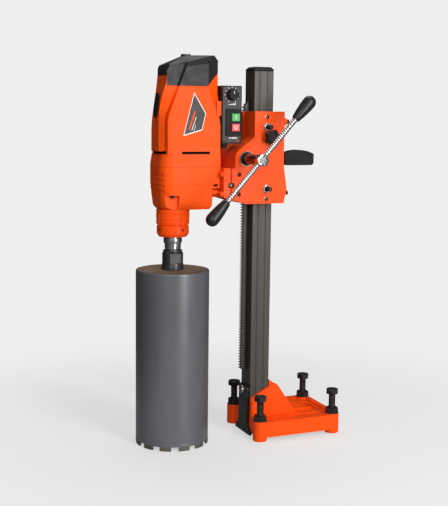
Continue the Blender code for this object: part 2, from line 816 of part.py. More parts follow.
def make_end_cap():
    left = MOTOR_LEFT + LEAN
    right = MOTOR_RIGHT - 2
    depth = MOTOR_HALF_DEPTH - 1
    levels = [
        (HOUSING_TOP + GAP, left, right, depth),
        (805, left + 2, right - 1, depth - 1),
        (817, left + 8, right - 1, depth - 3),
        (838, left + 38, right - 8, 26),
        (END_CAP_TOP, left + 44, right - 14, 22),
    ]
    body = loft("end_cap", shell_sections(levels, 0), "black_plastic")
    inner_levels = [(HOUSING_TOP - 10, *levels[0][1:])] + levels[1:4]
    cut(body, loft("cut_end_cap", shell_sections(inner_levels, CASE_WALL), None))


def make_gear_case():
    left = MOTOR_LEFT - 2
    right = MOTOR_RIGHT + 2.3
    depth = MOTOR_HALF_DEPTH
    levels = [
        (CASE_BOTTOM, left + 10, right - 20, depth - 6),
        (521, left + 6, right - 12, depth - 2),
        (540, left + 1, right, depth),
        (600, left, right, depth),
        (CASE_TOP, left + 1, right - 2, depth),
    ]
    body = loft("gear_case", shell_sections(levels, 0), "orange_paint")
    inner_levels = [(523, *levels[1][1:])] + levels[2:4] + [(CASE_TOP + 20, *levels[4][1:])]
    cut(body, loft("cut_gear_case", shell_sections(inner_levels, CASE_WALL), None))
    cut(body, cylinder("cut_spindle_port", 29, (SPINDLE_X, 0, 500), 540, "Z", None, 40))


def make_spindle_neck():
    top = CASE_BOTTOM - GAP
    r = NECK_RADIUS
    bearing = 30.0 + GAP
    seal = 24.0 + GAP
    profile = [(bearing, top), (r, top), (r, 464), (r - 2.5, NECK_BOTTOM), (seal, NECK_BOTTOM)]
    profile += [(seal, 470), (bearing, 470)]
    turned("spindle_neck", profile, (SPINDLE_X, 0, 0), "Z", "orange_paint", 36)
    inner = SPINDLE_RADIUS + RUNNING_GAP
    turned(
        "spindle_bearing",
        [(inner, 496), (30, 496), (30, 471), (inner, 471)],
        (SPINDLE_X, 0, 0),
        "Z",
        "steel",
        28,
    )
    turned(
        "shaft_seal", [(inner, 467), (24, 467), (24, 459), (inner, 459)], (SPINDLE_X, 0, 0), "Z", "rubber", 28
    )


def make_spindle():
    r = SPINDLE_RADIUS
    thread = 15.5
    profile = [(0, 581), (13, 581), (13, 552), (r, 551), (r, 452.5), (20, 452.5), (20, 441), (r, 440)]
    profile += [(r, HUB_TOP + GAP), (thread, HUB_TOP + GAP), (thread, 396), (0, 396)]
    turned("spindle", profile, (SPINDLE_X, 0, 0), "Z", "chrome", 28)
    phase = math.atan2(COUNTER_Y, COUNTER_X - SPINDLE_X)
    outline = gear_outline(OUTPUT_GEAR_TEETH, SECOND_MODULE, phase, 0.7, 1.0, 0.16)
    plate(
        "output_gear", [outline, ring(13 + GAP)], 15, "XY", (SPINDLE_X, 0, 567.5), "steel", smooth=None
    )


def make_counter_shaft():
    to_spindle = math.atan2(-COUNTER_Y, SPINDLE_X - COUNTER_X)
    to_motor = math.atan2(-COUNTER_Y, MOTOR_SHAFT_X - COUNTER_X)
    half_tooth = math.pi / SMALL_TEETH
    outline = gear_outline(SMALL_TEETH, SECOND_MODULE, to_spindle + half_tooth, 0.7, 1.0, 0.16)
    shaft = plate(
        "counter_shaft", [outline], 17, "XY", (COUNTER_X, COUNTER_Y, 567.5), "steel", smooth=None
    )
    join(shaft, cylinder("counter_axle", 5, (COUNTER_X, COUNTER_Y, 548), 603, "Z", None, 20))
    outline = gear_outline(FIRST_GEAR_TEETH, FIRST_MODULE, to_motor, 0.7, 1.0, 0.12)
    plate(
        "counter_gear", [outline, ring(5 + GAP)], 12, "XY", (COUNTER_X, COUNTER_Y, 591), "steel", smooth=None
    )


def make_rotor():
    to_counter = math.atan2(COUNTER_Y, COUNTER_X - MOTOR_SHAFT_X)
    half_tooth = math.pi / SMALL_TEETH
    outline = gear_outline(SMALL_TEETH, FIRST_MODULE, to_counter + half_tooth, 0.7, 1.0, 0.12)
    shaft = plate("armature_shaft", [outline], 14, "XY", (MOTOR_SHAFT_X, 0, 591), "steel", smooth=None)
    join(shaft, cylinder("armature_axle", 4.6, (MOTOR_SHAFT_X, 0, 584.5), 772, "Z", None, 20))
    join(shaft, cylinder("commutator", 15, (MOTOR_SHAFT_X, 0, 730), 752, "Z", None, 24))
    core_outline = slotted_outline(27, 23, 12, 0.16)
    bore = ring(4.6 + GAP)
    plate("armature_core", [core_outline, bore], 76, "XY", (MOTOR_SHAFT_X, 0, 680), "copper", smooth=None)
    fan_outline = slotted_outline(33, 13, 9, 0.7)
    plate("cooling_fan", [fan_outline, bore], 10, "XY", (MOTOR_SHAFT_X, 0, 624), "black_plastic", smooth=None)
    turned("stator", [(28, 720), (37, 720), (37, 640), (28, 640)], (MOTOR_SHAFT_X, 0, 0), "Z", "copper", 28)


def make_brush_cover():
    z = 735.5
    thickness = 3.5
    slope = LEAN / (HOUSING_TOP - LEAN_START)
    face = MOTOR_LEFT + (z - LEAN_START) * slope
    oval = [(20 * a, 26 * b) for a, b in ring(1, 28)]
    cover = plate("brush_cover", [oval], thickness, "YZ", (0, 0, 0), "black_plastic")
    seat = Matrix.Translation(Vector((face - thickness / 2 - GAP - 0.1, 1, z)) * MM)
    cover.matrix_world = seat @ Matrix.Rotation(math.atan(slope), 4, "Y") @ cover.matrix_world


# ---------------------------------------------------------------- controls


def make_control_box():
    wall = 2.5
    low = (BOX_LEFT, BOX_FRONT, BOX_BOTTOM)
    high = (BOX_RIGHT, BOX_BACK, BOX_TOP)
    body = box("control_box", low, high, "black_plastic", bevel=1.0)
    inner_low = (low[0] + wall, low[1] + wall, low[2] + wall)
    inner_high = (high[0] - wall, high[1] + 20, high[2] - wall)
    cut(body, box("cut_box_inside", inner_low, inner_high, None))
    lid_rim = box("box_lid", (low[0] + 1, BOX_BACK - 2, low[2] + 1), (high[0] - 1, BOX_BACK, high[2] - 1), None)
    join(body, lid_rim)
    cut(body, cylinder("cut_gland_hole", 5.3, (GLAND_X, GLAND_Y, 640), 670, "Z", None, 20))
    cut(body, cylinder("cut_knob_hole", 3.4, (KNOB_X, -60, KNOB_Z), -30, "Y", None, 20))
    for name, z in (("start", START_Z), ("stop", STOP_Z)):
        cut(body, button_opening(f"cut_box_{name}", z, GAP))


def button_opening(name, z, margin):
    half_x = BUTTON_WIDTH / 2 + margin
    half_z = BUTTON_HEIGHT / 2 + margin
    return box(name, (BUTTON_X - half_x, -70, z - half_z), (BUTTON_X + half_x, -35, z + half_z), None)


def make_switch():
    low = (-99, BOX_FRONT - GAP - 3, 672)
    high = (-64.5, BOX_FRONT - GAP, 729.5)
    bezel = box("switch_bezel", low, high, "black_plastic")
    for name, z, finish in (("start", START_Z, "green_plastic"), ("stop", STOP_Z, "red_plastic")):
        cut(bezel, button_opening(f"cut_bezel_{name}", z, GAP))
        half_x = BUTTON_WIDTH / 2 - 0.1
        half_z = BUTTON_HEIGHT / 2 - 0.1
        box(
            f"{name}_button",
            (BUTTON_X - half_x, BOX_FRONT - 8, z - half_z),
            (BUTTON_X + half_x, BOX_FRONT + 4, z + half_z),
            finish,
            bevel=0.8,
        )


def make_speed_knob():
    face = BOX_FRONT - GAP
    profile = [(0, 14), (11, 14), (12, 13), (12.5, 1), (3, 0.5), (3, -9), (0, -9)]
    knob = turned("speed_knob", profile, (KNOB_X, face, KNOB_Z), "Y", "black_plastic", 24)
    knob.rotation_euler = (math.pi / 2, 0, 0)


def make_cable_gland():
    profile = [(3.5, 670), (5, 670), (5, BOX_BOTTOM - GAP), (9, BOX_BOTTOM - GAP), (9, 650), (6, 645), (3.5, 645)]
    turned("cable_gland", profile, (GLAND_X, GLAND_Y, 0), "Z", "rubber", 24)


# ---------------------------------------------------------------- core bit


def make_bit():
    profile = [
        (0, BIT_TOP),
        (BIT_RADIUS - 1.5, BIT_TOP),
        (BIT_RADIUS, BIT_TOP - 1.5),
        (BIT_RADIUS, 0),
        (BIT_RADIUS - BIT_WALL, 0),
        (BIT_RADIUS - BIT_WALL, BIT_TOP - 7),
        (0, BIT_TOP - 7),
    ]
    barrel = turned("core_barrel", profile, (SPINDLE_X, 0, 0), "Z", "bit_paint", 60)
    for i in range(SEGMENT_COUNT):
        angle = math.radians(15) + 2 * math.pi * i / SEGMENT_COUNT
        half = SLOT_WIDTH / 2
        low = (BIT_RADIUS - 10, -half, -5)
        notch = box(f"cut_slot_{i}", low, (BIT_RADIUS + 10, half, SEGMENT_HEIGHT), None)
        centre = Vector((BIT_RADIUS, 0, (SEGMENT_HEIGHT - 5) / 2))
        turned_centre = Matrix.Rotation(angle, 3, "Z") @ centre + Vector((SPINDLE_X, 0, 0))
        place(notch, turned_centre, (0, 0, angle))
        cut(barrel, notch)

    low = BIT_TOP + GAP
    bore = 15.5 + GAP
    r = HUB_RADIUS
    profile = [(bore, HUB_TOP), (r - 2, HUB_TOP), (r, HUB_TOP - 2), (r, 398), (r + 1.3, 392), (r + 1.3, low)]
    profile += [(0, low), (0, 394), (bore, 394)]
    hub = turned("bit_hub", profile, (SPINDLE_X, 0, 0), "Z", "black_steel", 28)
    for side in (-1, 1):
        low_y = side * 19.0
        flat = box(
            f"cut_spanner_flat_{side}",
            (SPINDLE_X - 12, min(low_y, side * 40), 400),
            (SPINDLE_X + 12, max(low_y, side * 40), 420),
            None,
        )
        cut(hub, flat)


# ---------------------------------------------------------------- build

clear_scene()
PARTS = new_collection("core_drill_rig")
CUTTERS = new_collection("cutters")

COUNTER_X, COUNTER_Y = meeting_point(
    SPINDLE_X,
    (OUTPUT_GEAR_TEETH + SMALL_TEETH) * SECOND_MODULE / 2,
    MOTOR_SHAFT_X,
    (FIRST_GEAR_TEETH + SMALL_TEETH) * FIRST_MODULE / 2,
)
ADAPTER_POCKET, ADAPTER_BORE = adapter_cutters()

make_base()
make_column()
make_rack()
make_strap()
make_levellers()
make_carriage()
make_adjusters(make_guide_pads())
make_feed()
make_lock_knob()
make_rear_handle()
make_adapter()
make_housing()
make_end_cap()
make_gear_case()
make_spindle_neck()
make_spindle()
make_counter_shaft()
make_rotor()
make_brush_cover()
make_control_box()
make_switch()
make_speed_knob()
make_cable_gland()
make_bit()
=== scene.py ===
"""Looks of the core drill rig: detailed shells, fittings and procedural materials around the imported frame.

Lengths are in millimetres and become metres as each shape is made. The bit is towards -X and the
crank towards -Y.
"""

import math

import bmesh
import bpy
from mathutils import Matrix, Vector


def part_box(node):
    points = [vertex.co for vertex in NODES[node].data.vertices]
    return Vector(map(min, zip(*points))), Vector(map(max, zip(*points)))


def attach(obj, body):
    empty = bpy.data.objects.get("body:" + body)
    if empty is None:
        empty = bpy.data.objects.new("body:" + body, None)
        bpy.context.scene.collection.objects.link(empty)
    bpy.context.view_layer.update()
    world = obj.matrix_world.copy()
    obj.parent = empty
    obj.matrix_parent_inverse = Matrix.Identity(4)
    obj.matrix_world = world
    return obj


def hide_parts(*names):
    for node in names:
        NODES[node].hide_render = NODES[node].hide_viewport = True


MM = 0.001

# Crank and grips
CRANK_ANGLE = math.radians(48)
CRANK_BAR_RADIUS = 6.0
RIB_PITCH = 4.9

# Camera
CAMERA_PLACE = (-0.9343, -2.0228, 0.7098)
CAMERA_YAW = math.radians(22.90)
CAMERA_PITCH = math.radians(7.67)
CAMERA_ROLL = math.radians(0.65)
CAMERA_LENS = 71.26


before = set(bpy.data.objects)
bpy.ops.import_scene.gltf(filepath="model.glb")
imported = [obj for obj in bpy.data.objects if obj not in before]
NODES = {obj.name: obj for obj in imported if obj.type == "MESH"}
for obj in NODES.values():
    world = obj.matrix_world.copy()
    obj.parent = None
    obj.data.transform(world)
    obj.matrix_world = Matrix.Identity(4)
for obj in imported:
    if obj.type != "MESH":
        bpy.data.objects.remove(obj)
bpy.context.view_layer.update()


def middle(node, axis):
    """The middle of a node's box along one axis, in millimetres."""
    low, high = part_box(node)
    return (low[axis] + high[axis]) / 2 / MM


# Places that the frame gives
SPINDLE_X = middle("spindle", 0)
PINION_X = middle("feed_shaft", 0)
PINION_Z = middle("feed_shaft", 2)
CRANK_Y = middle("crank_bar", 1)
SCREW_X = (middle("leveling_screw_front_near", 0), middle("leveling_screw_rear_near", 0))
SCREW_Y = middle("leveling_screw_front_far", 1)
ADJUSTER_Z = (middle("near_adjuster_lower", 2), middle("near_adjuster_upper", 2))
REAR_Z = (middle("rear_adjuster_lower", 2), middle("rear_adjuster_upper", 2))
REAR_Y = middle("rear_adjuster_upper", 1)
REAR_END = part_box("rear_adjuster_upper")[1][0] / MM
LOCK_X = middle("lock_knob", 0)
LOCK_Z = middle("lock_knob", 2)
HANDLE_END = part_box("rear_handle")[1][0] / MM
KNOB_X = middle("speed_knob", 0)
KNOB_Z = middle("speed_knob", 2)
BUTTON_Z = (middle("start_button", 2), middle("stop_button", 2))

# The backdrop's brightness, as the camera sees it
BACKDROP = 0.86

# Points on the hood's stepped left slope, as (X, height)
CAP_STEP = (-227.5, 808.0)
CAP_EAVE = (-221.2, 819.8)

# Half the square that the column stands in
COLUMN_SEAT = 23.8

# Levelling screws
SCREW_HOLE = 8.1
SCREW_FLATS = 26

# Carriage and control fittings: places along X, and (X, Z) or (X, Y) where there are two
STUD_X = -7.5
GRUB_X = -71.8
ADAPTER_BOLT = (-89.15, 567)
SWITCH_X = -78.0
GLAND = (-94, -24)
CASE_RIGHT = -106.4

# The direction that fittings on the crank side face
NEAR = (0, -1, 0)

# Heights of the small screws
DOWEL_Z = (536.7, 713.4)
GRUB_Z = (547.9, 590.3)
BOLT_Z = (548.5, 591.0)


# ---------------------------------------------------------------- materials


def add_node(tree, kind, inputs=None, **settings):
    made = tree.nodes.new(f"ShaderNode{kind}")
    for name, value in settings.items():
        setattr(made, name, value)
    for key, value in (inputs or {}).items():
        if isinstance(value, bpy.types.NodeSocket):
            tree.links.new(value, made.inputs[key])
        else:
            made.inputs[key].default_value = value
    return made


def noise(tree, vector, scale, detail=3.0, distortion=0.0):
    inputs = {"Vector": vector, "Scale": scale, "Detail": detail, "Distortion": distortion}
    return add_node(tree, "TexNoise", inputs).outputs["Fac"]


def remap(tree, value, low, high, new_low, new_high):
    inputs = {"Value": value, "From Min": low, "From Max": high, "To Min": new_low, "To Max": new_high}
    return add_node(tree, "MapRange", inputs).outputs["Result"]


def blend_colours(tree, factor, first, second):
    mixed = add_node(tree, "Mix", {"Factor": factor}, data_type="RGBA")
    for index, value in ((6, first), (7, second)):
        if isinstance(value, bpy.types.NodeSocket):
            tree.links.new(value, mixed.inputs[index])
        else:
            mixed.inputs[index].default_value = (*value, 1)
    return mixed.outputs[2]


def edge_mask(tree, radius):
    """Near 1 on sharp edges within this radius, and 0 on flat stretches."""
    rounded = add_node(tree, "Bevel", {"Radius": radius}, samples=4).outputs["Normal"]
    plain = add_node(tree, "NewGeometry").outputs["Normal"]
    inputs = {0: rounded, 1: plain}
    facing = add_node(tree, "VectorMath", inputs, operation="DOT_PRODUCT").outputs["Value"]
    return remap(tree, facing, 0.995, 0.8, 0.0, 1.0)


def surface(
    name,
    colour,
    roughness,
    metallic=0.0,
    patches=(35.0, 0.08),
    grain=(900.0, 0.12, 0.05),
    spread=0.08,
    stretch=(1, 1, 1),
    worn=None,
    settings=None,
):
    """A material with colour patches, a fine grain bump, varied gloss and, where asked, rubbed edges.

    patches is (scale, share), grain is (scale, strength, depth in mm) and worn is (colour, roughness, share).
    """
    made = bpy.data.materials.new(name)
    made.use_nodes = True
    tree = made.node_tree
    shader = tree.nodes["Principled BSDF"]
    place = add_node(tree, "TexCoord").outputs["Object"]
    mapped = add_node(tree, "Mapping", {"Vector": place, "Scale": stretch}).outputs["Vector"]
    patchy = noise(tree, mapped, patches[0], 5.0, 0.4)
    darker = [c * (1 - patches[1]) for c in colour]
    lighter = [min(1.0, c * (1 + patches[1])) for c in colour]
    tint = blend_colours(tree, remap(tree, patchy, 0.3, 0.7, 0.0, 1.0), darker, lighter)
    smudges = noise(tree, mapped, patches[0] * 2.7, 6.0, 0.8)
    gloss = remap(tree, smudges, 0.3, 0.7, max(0.03, roughness - spread), roughness + spread)
    if worn:
        rubbed = remap(tree, noise(tree, place, 160.0, 6.0), 0.42, 0.6, 0.0, worn[2])
        edges = edge_mask(tree, 0.0007)
        mask = add_node(tree, "Math", {0: rubbed, 1: edges}, operation="MULTIPLY").outputs["Value"]
        tint = blend_colours(tree, mask, tint, worn[0])
        inputs = {"Value": mask, "To Min": gloss, "To Max": worn[1]}
        gloss = add_node(tree, "MapRange", inputs).outputs["Result"]
    fine = noise(tree, mapped, grain[0], 4.0)
    inputs = {"Height": fine, "Strength": grain[1], "Distance": grain[2] * MM}
    bump = add_node(tree, "Bump", inputs).outputs["Normal"]
    tree.links.new(tint, shader.inputs["Base Color"])
    tree.links.new(gloss, shader.inputs["Roughness"])
    tree.links.new(bump, shader.inputs["Normal"])
    shader.inputs["Metallic"].default_value = metallic
    for key, value in (settings or {}).items():
        shader.inputs[key].default_value = value
    made.diffuse_color = (*colour, 1)
    return made


def make_looks():
    orange = (0.86, 0.073, 0.0035)
    shell_orange = (0.86, 0.082, 0.005)
    pale_orange = (0.95, 0.17, 0.04)
    bare = (0.32, 0.31, 0.30)
    coat = {"Specular IOR Level": 0.14, "Coat Weight": 0.02, "Coat Roughness": 0.15}
    dull = {"Specular IOR Level": 0.1}
    waxy = {"Subsurface Weight": 0.1, "Subsurface Scale": 0.002}
    along = (1, 1, 0.03)
    return {
        "paint": surface(
            "orange_powder_coat", orange, 0.36, patches=(14, 0.05), grain=(620, 0.35, 0.05),
            worn=(pale_orange, 0.5, 0.35), settings=coat,
        ),
        "casting": surface(
            "orange_cast_paint", orange, 0.32, patches=(20, 0.06), grain=(300, 0.12, 0.03),
            worn=(pale_orange, 0.45, 0.5), settings=coat,
        ),
        "shell": surface(
            "orange_moulded_shell", shell_orange, 0.42, patches=(9, 0.035), grain=(1500, 0.3, 0.04),
            worn=(pale_orange, 0.5, 0.25), settings=dull,
        ),
        "plastic": surface(
            "black_moulded_plastic", (0.013, 0.013, 0.016), 0.45,
            patches=(25, 0.12), grain=(2200, 0.6, 0.05),
            worn=((0.045, 0.045, 0.05), 0.35, 0.5), settings=dull,
        ),
        "gloss_plastic": surface(
            "black_gloss_grip", (0.012, 0.012, 0.014), 0.36,
            patches=(30, 0.15), grain=(420, 0.12, 0.05), spread=0.06,
            settings={"Specular IOR Level": 0.3, "Coat Weight": 0.08, "Coat Roughness": 0.2},
        ),
        "black_steel": surface(
            "black_oxide_steel", (0.02, 0.019, 0.02), 0.4, 0.5, patches=(60, 0.3), grain=(900, 0.4, 0.04),
            worn=(bare, 0.3, 0.45),
        ),
        "column": surface(
            "blackened_column_steel", (0.044, 0.04, 0.037), 0.42, 0.15,
            patches=(70, 0.18), grain=(1400, 0.35, 0.03),
            stretch=along, worn=((0.16, 0.15, 0.14), 0.3, 0.6),
        ),
        "rack": surface(
            "oiled_rack_steel", (0.03, 0.027, 0.025), 0.4, 0.3, patches=(90, 0.3), grain=(1100, 0.3, 0.03),
            worn=(bare, 0.25, 0.7),
        ),
        "chrome": surface(
            "chrome_plate", (0.6, 0.6, 0.61), 0.06, 1.0,
            patches=(50, 0.04), grain=(1800, 0.08, 0.02), spread=0.04,
        ),
        "satin_chrome": surface(
            "satin_chrome_bar", (0.42, 0.42, 0.43), 0.24, 1.0, patches=(50, 0.08), grain=(1400, 0.2, 0.02),
            spread=0.05, stretch=(1, 1, 0.2),
        ),
        "zinc": surface(
            "zinc_plated_steel", (0.34, 0.33, 0.3), 0.2, 1.0, patches=(160, 0.12), grain=(1500, 0.3, 0.03),
        ),
        "machined": surface(
            "turned_steel", (0.3, 0.29, 0.28), 0.3, 1.0, patches=(120, 0.1), grain=(2600, 0.4, 0.02),
            stretch=(1, 0.2, 1),
        ),
        "brass": surface(
            "brass_pad", (0.6, 0.4, 0.14), 0.34, 1.0,
            patches=(70, 0.12), grain=(1600, 0.3, 0.03), stretch=along,
        ),
        "bit": surface(
            "satin_bit_paint", (0.125, 0.132, 0.148), 0.34, 0.3, patches=(16, 0.12), grain=(700, 0.3, 0.04),
            spread=0.06, stretch=(1, 1, 0.25), worn=((0.16, 0.16, 0.17), 0.3, 0.6),
        ),
        "hub": surface(
            "dark_machined_hub", (0.035, 0.036, 0.04), 0.36, 0.4,
            patches=(60, 0.2), grain=(1200, 0.4, 0.03),
            worn=(bare, 0.3, 0.6),
        ),
        "diamond": surface(
            "diamond_segment", (0.11, 0.1, 0.09), 0.62, 0.5, patches=(900, 0.6), grain=(2600, 1.0, 0.15),
        ),
        # brownish lid colour: painted reflection of the orange parts above
        "lid_reflection_tint": surface(
            "lid_painted_reflection", (0.2, 0.135, 0.1), 0.7, patches=(26, 0.16), grain=(500, 0.4, 0.05),
            settings=dull,
        ),
        "copper": surface(
            "enamelled_winding", (0.5, 0.2, 0.08), 0.36, 0.9, patches=(120, 0.2), grain=(900, 0.6, 0.15),
        ),
        "dark_chrome": surface(
            "dark_ground_steel", (0.16, 0.16, 0.165), 0.2, 1.0, patches=(60, 0.15), grain=(1600, 0.2, 0.02),
        ),
        "hood": surface(
            "black_hood_plastic", (0.017, 0.017, 0.021), 0.42, patches=(18, 0.08), grain=(1900, 0.4, 0.04),
            worn=((0.1, 0.1, 0.105), 0.35, 0.4), settings={"Specular IOR Level": 0.22},
        ),
        "rubber": surface(
            "black_rubber", (0.018, 0.018, 0.019), 0.72, patches=(60, 0.2), grain=(1600, 0.6, 0.06),
        ),
        "green": surface(
            "green_button_plastic", (0.03, 0.36, 0.07), 0.38, patches=(90, 0.08), grain=(1800, 0.25, 0.03),
            settings=waxy,
        ),
        "red": surface(
            "red_button_plastic", (0.66, 0.035, 0.06), 0.38, patches=(90, 0.08), grain=(1800, 0.25, 0.03),
            settings=waxy,
        ),
        "print": surface(
            "white_print", (0.75, 0.75, 0.74), 0.5, patches=(700, 0.12), grain=(2400, 0.2, 0.02),
        ),
        "label": surface(
            "label_film", (0.036, 0.036, 0.038), 0.36, patches=(60, 0.08), grain=(1400, 0.15, 0.02),
            settings={"Specular IOR Level": 0.2},
        ),
        # near-black painted shade, set inside slots, seams and holes where the shade falls
        "recess_shade": surface(
            "painted_recess_shade", (0.006, 0.004, 0.004), 0.8, patches=(60, 0.2), grain=(900, 0.3, 0.05),
            settings={"Specular IOR Level": 0.05},
        ),
    }


# ---------------------------------------------------------------- shapes


def arc(centre, radius, start, end, steps):
    """Points on an arc, with its angles in degrees."""
    found = []
    for i in range(steps + 1):
        angle = math.radians(start + (end - start) * i / steps)
        found.append((centre[0] + radius * math.cos(angle), centre[1] + radius * math.sin(angle)))
    return found


def ring(radius, sides):
    return arc((0, 0), radius, 0, 360 - 360 / sides, sides - 1)


def rounded(low, high, radii, steps=6):
    """A rectangle with its own radius at each corner, from the high corner anticlockwise."""
    corners = ((high[0], high[1], -1, -1), (low[0], high[1], 1, -1))
    corners += ((low[0], low[1], 1, 1), (high[0], low[1], -1, 1))
    found = []
    for i, (x, y, inward_x, inward_y) in enumerate(corners):
        radius = radii[i] if hasattr(radii, "__len__") else radii
        found += arc((x + inward_x * radius, y + inward_y * radius), radius, 90 * i, 90 * i + 90, steps)
    return found


def hexagon(flats, turn=0.0):
    return arc((0, 0), flats / math.sqrt(3), turn, turn + 300, 5)


def linked(name, bm):
    bmesh.ops.recalc_face_normals(bm, faces=bm.faces)
    mesh = bpy.data.meshes.new(name)
    bm.to_mesh(mesh)
    bm.free()
    obj = bpy.data.objects.new(name, mesh)
    bpy.context.scene.collection.objects.link(obj)
    return obj


def prism(outline, low, high, axis="Z"):
    """An outline in the plane across an axis, carried from one place on that axis to another."""
    orders = {"X": lambda a, b, h: (h, a, b), "Y": lambda a, b, h: (a, h, b), "Z": lambda a, b, h: (a, b, h)}
    order = orders[axis]
    bm = bmesh.new()
    rings = [[bm.verts.new(Vector(order(a, b, h)) * MM) for a, b in outline] for h in (low, high)]
    bm.faces.new(rings[0])
    bm.faces.new(rings[1])
    for i in range(len(outline)):
        j = (i + 1) % len(outline)
        bm.faces.new((rings[0][i], rings[0][j], rings[1][j], rings[1][i]))
    return linked("prism", bm)


def block(low, high):
    outline = [(low[0], low[1]), (high[0], low[1]), (high[0], high[1]), (low[0], high[1])]
    return prism(outline, low[2], high[2])


def loft(sections):
    """A closed body through like outlines, each a (height, points) pair."""
    bm = bmesh.new()
    rings = [[bm.verts.new(Vector((x, y, z)) * MM) for x, y in points] for z, points in sections]
    bm.faces.new(rings[0])
    bm.faces.new(rings[-1])
    for lower, upper in zip(rings, rings[1:]):
        for i in range(len(lower)):
            j = (i + 1) % len(lower)
            bm.faces.new((lower[i], lower[j], upper[j], upper[i]))
    return linked("loft", bm)


def turned(profile, centre, direction=(0, 0, 1), sides=48):
    """A profile of (radius, height) turned about a line through the centre: a ring where no radius is 0."""
    turn = Vector((0, 0, 1)).rotation_difference(Vector(direction).normalized()).to_matrix()
    middle = Vector(centre)
    bm = bmesh.new()
    rings = []
    for radius, height in profile:
        count = sides if radius > 0 else 1
        points = arc((0, 0), radius, 0, 360 - 360 / sides, sides - 1)[:count]
        rings.append([bm.verts.new((middle + turn @ Vector((a, b, height))) * MM) for a, b in points])
    if profile[0][0] > 0:
        rings.append(rings[0])
    for first, second in zip(rings, rings[1:]):
        for i in range(sides):
            j = (i + 1) % sides
            corners = [first[i % len(first)], first[j % len(first)]]
            corners += [second[j % len(second)], second[i % len(second)]]
            unique = list(dict.fromkeys(corners))
            if len(unique) > 2:
                bm.faces.new(unique)
    return linked("turned", bm)


def rod(radius, start, end, sides=32):
    """A plain round bar between two points."""
    line = Vector(end) - Vector(start)
    return turned([(0, 0), (radius, 0), (radius, line.length), (0, line.length)], start, line, sides)


def bar_along_y(radius, x, z, start, end, sides=32):
    """A plain round bar along Y, for a hole or for a pin."""
    return rod(radius, (x, start, z), (x, end, z), sides)


def threaded(radius, start, end, pitch, depth, sides=24):
    """A bar with a helical thread, plain at both ends."""
    line = Vector(end) - Vector(start)
    turn = Vector((0, 0, 1)).rotation_difference(line.normalized()).to_matrix()
    rows = max(4, round(line.length / pitch * 4))
    bm = bmesh.new()
    rings = []
    for row in range(rows + 1):
        height = line.length * row / rows
        fade = min(1.0, row / 3, (rows - row) / 3)
        points = []
        for i in range(sides):
            angle = 2 * math.pi * i / sides
            wave = abs(((height / pitch - i / sides) % 1) * 2 - 1)
            reach = radius - depth * wave * fade - 0.6 * (1 - fade)
            point = Vector((reach * math.cos(angle), reach * math.sin(angle), height))
            points.append(bm.verts.new((Vector(start) + turn @ point) * MM))
        rings.append(points)
    bm.faces.new(rings[0])
    bm.faces.new(rings[-1])
    for first, second in zip(rings, rings[1:]):
        for i in range(sides):
            j = (i + 1) % sides
            bm.faces.new((first[i], first[j], second[j], second[i]))
    return linked("threaded", bm)


def tube(points, radius, sides=4):
    """A round bar along a line of points, with filled ends."""
    curve = bpy.data.curves.new("tube", "CURVE")
    curve.dimensions = "3D"
    curve.bevel_depth = radius * MM
    curve.bevel_resolution = sides
    curve.use_fill_caps = True
    spline = curve.splines.new("POLY")
    spline.points.add(len(points) - 1)
    for point, place in zip(spline.points, points):
        point.co = (*(Vector(place) * MM), 1)
    guide = bpy.data.objects.new("tube", curve)
    bpy.context.scene.collection.objects.link(guide)
    obj = evaluated(guide)
    bm = bmesh.new()
    bm.from_mesh(obj)
    bmesh.ops.remove_doubles(bm, verts=bm.verts, dist=0.000001)
    bpy.data.objects.remove(guide)
    return linked("tube", bm)


def evaluated(obj):
    bpy.context.view_layer.update()
    return bpy.data.meshes.new_from_object(obj.evaluated_get(bpy.context.evaluated_depsgraph_get()))


def combined(obj, operation, others):
    for other in others:
        modifier = obj.modifiers.new("Shape", "BOOLEAN")
        modifier.operation = operation
        modifier.solver = "EXACT"
        modifier.object = other
    mesh = evaluated(obj)
    obj.modifiers.clear()
    obj.data = mesh
    for other in others:
        bpy.data.objects.remove(other)
    return obj


def cut(obj, *others):
    return combined(obj, "DIFFERENCE", others)


def join(obj, *others):
    return combined(obj, "UNION", others)


def keep(obj, *others):
    return combined(obj, "INTERSECT", others)


def group(objects):
    """Separate closed shapes as one object."""
    bm = bmesh.new()
    for obj in objects:
        bm.from_mesh(obj.data)
        bpy.data.objects.remove(obj)
    return linked("group", bm)


def dress(
    obj, name, look, body="carriage", replaces=(), bevel=0.0, segments=2, angle=30, smooth=40
):
    """Names a finished piece, rounds its edges, gives it a material and sets it on its body."""
    obj.name = name
    obj.data.name = name
    if bevel:
        edges = obj.modifiers.new("Edges", "BEVEL")
        edges.width = bevel * MM
        edges.segments = segments
        edges.limit_method = "ANGLE"
        edges.angle_limit = math.radians(angle)
        edges.use_clamp_overlap = True
        obj.data = evaluated(obj)
        obj.modifiers.clear()
    obj.data.shade_smooth()
    obj.data.set_sharp_from_angle(angle=math.radians(smooth))
    normals = obj.modifiers.new("Normals", "WEIGHTED_NORMAL")
    normals.keep_sharp = True
    normals.weight = 80
    obj.data.materials.clear()
    obj.data.materials.append(LOOKS[look])
    if replaces:
        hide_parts(*replaces)
    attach(obj, body)
    return obj


def soften(node, look, width=0.5, smooth=30):
    """A CAD node that stays: its own shape, with small rounded edges and a detailed material."""
    obj = NODES[node]
    weld = obj.modifiers.new("Weld", "WELD")
    weld.merge_threshold = 0.00001
    if width:
        edges = obj.modifiers.new("Edges", "BEVEL")
        edges.width = width * MM
        edges.segments = 2
        edges.limit_method = "ANGLE"
        edges.angle_limit = math.radians(smooth)
        edges.harden_normals = False
    normals = obj.modifiers.new("Normals", "WEIGHTED_NORMAL")
    normals.keep_sharp = True
    for index in range(len(obj.material_slots)):
        obj.material_slots[index].material = LOOKS[look]


# ---------------------------------------------------------------- stand


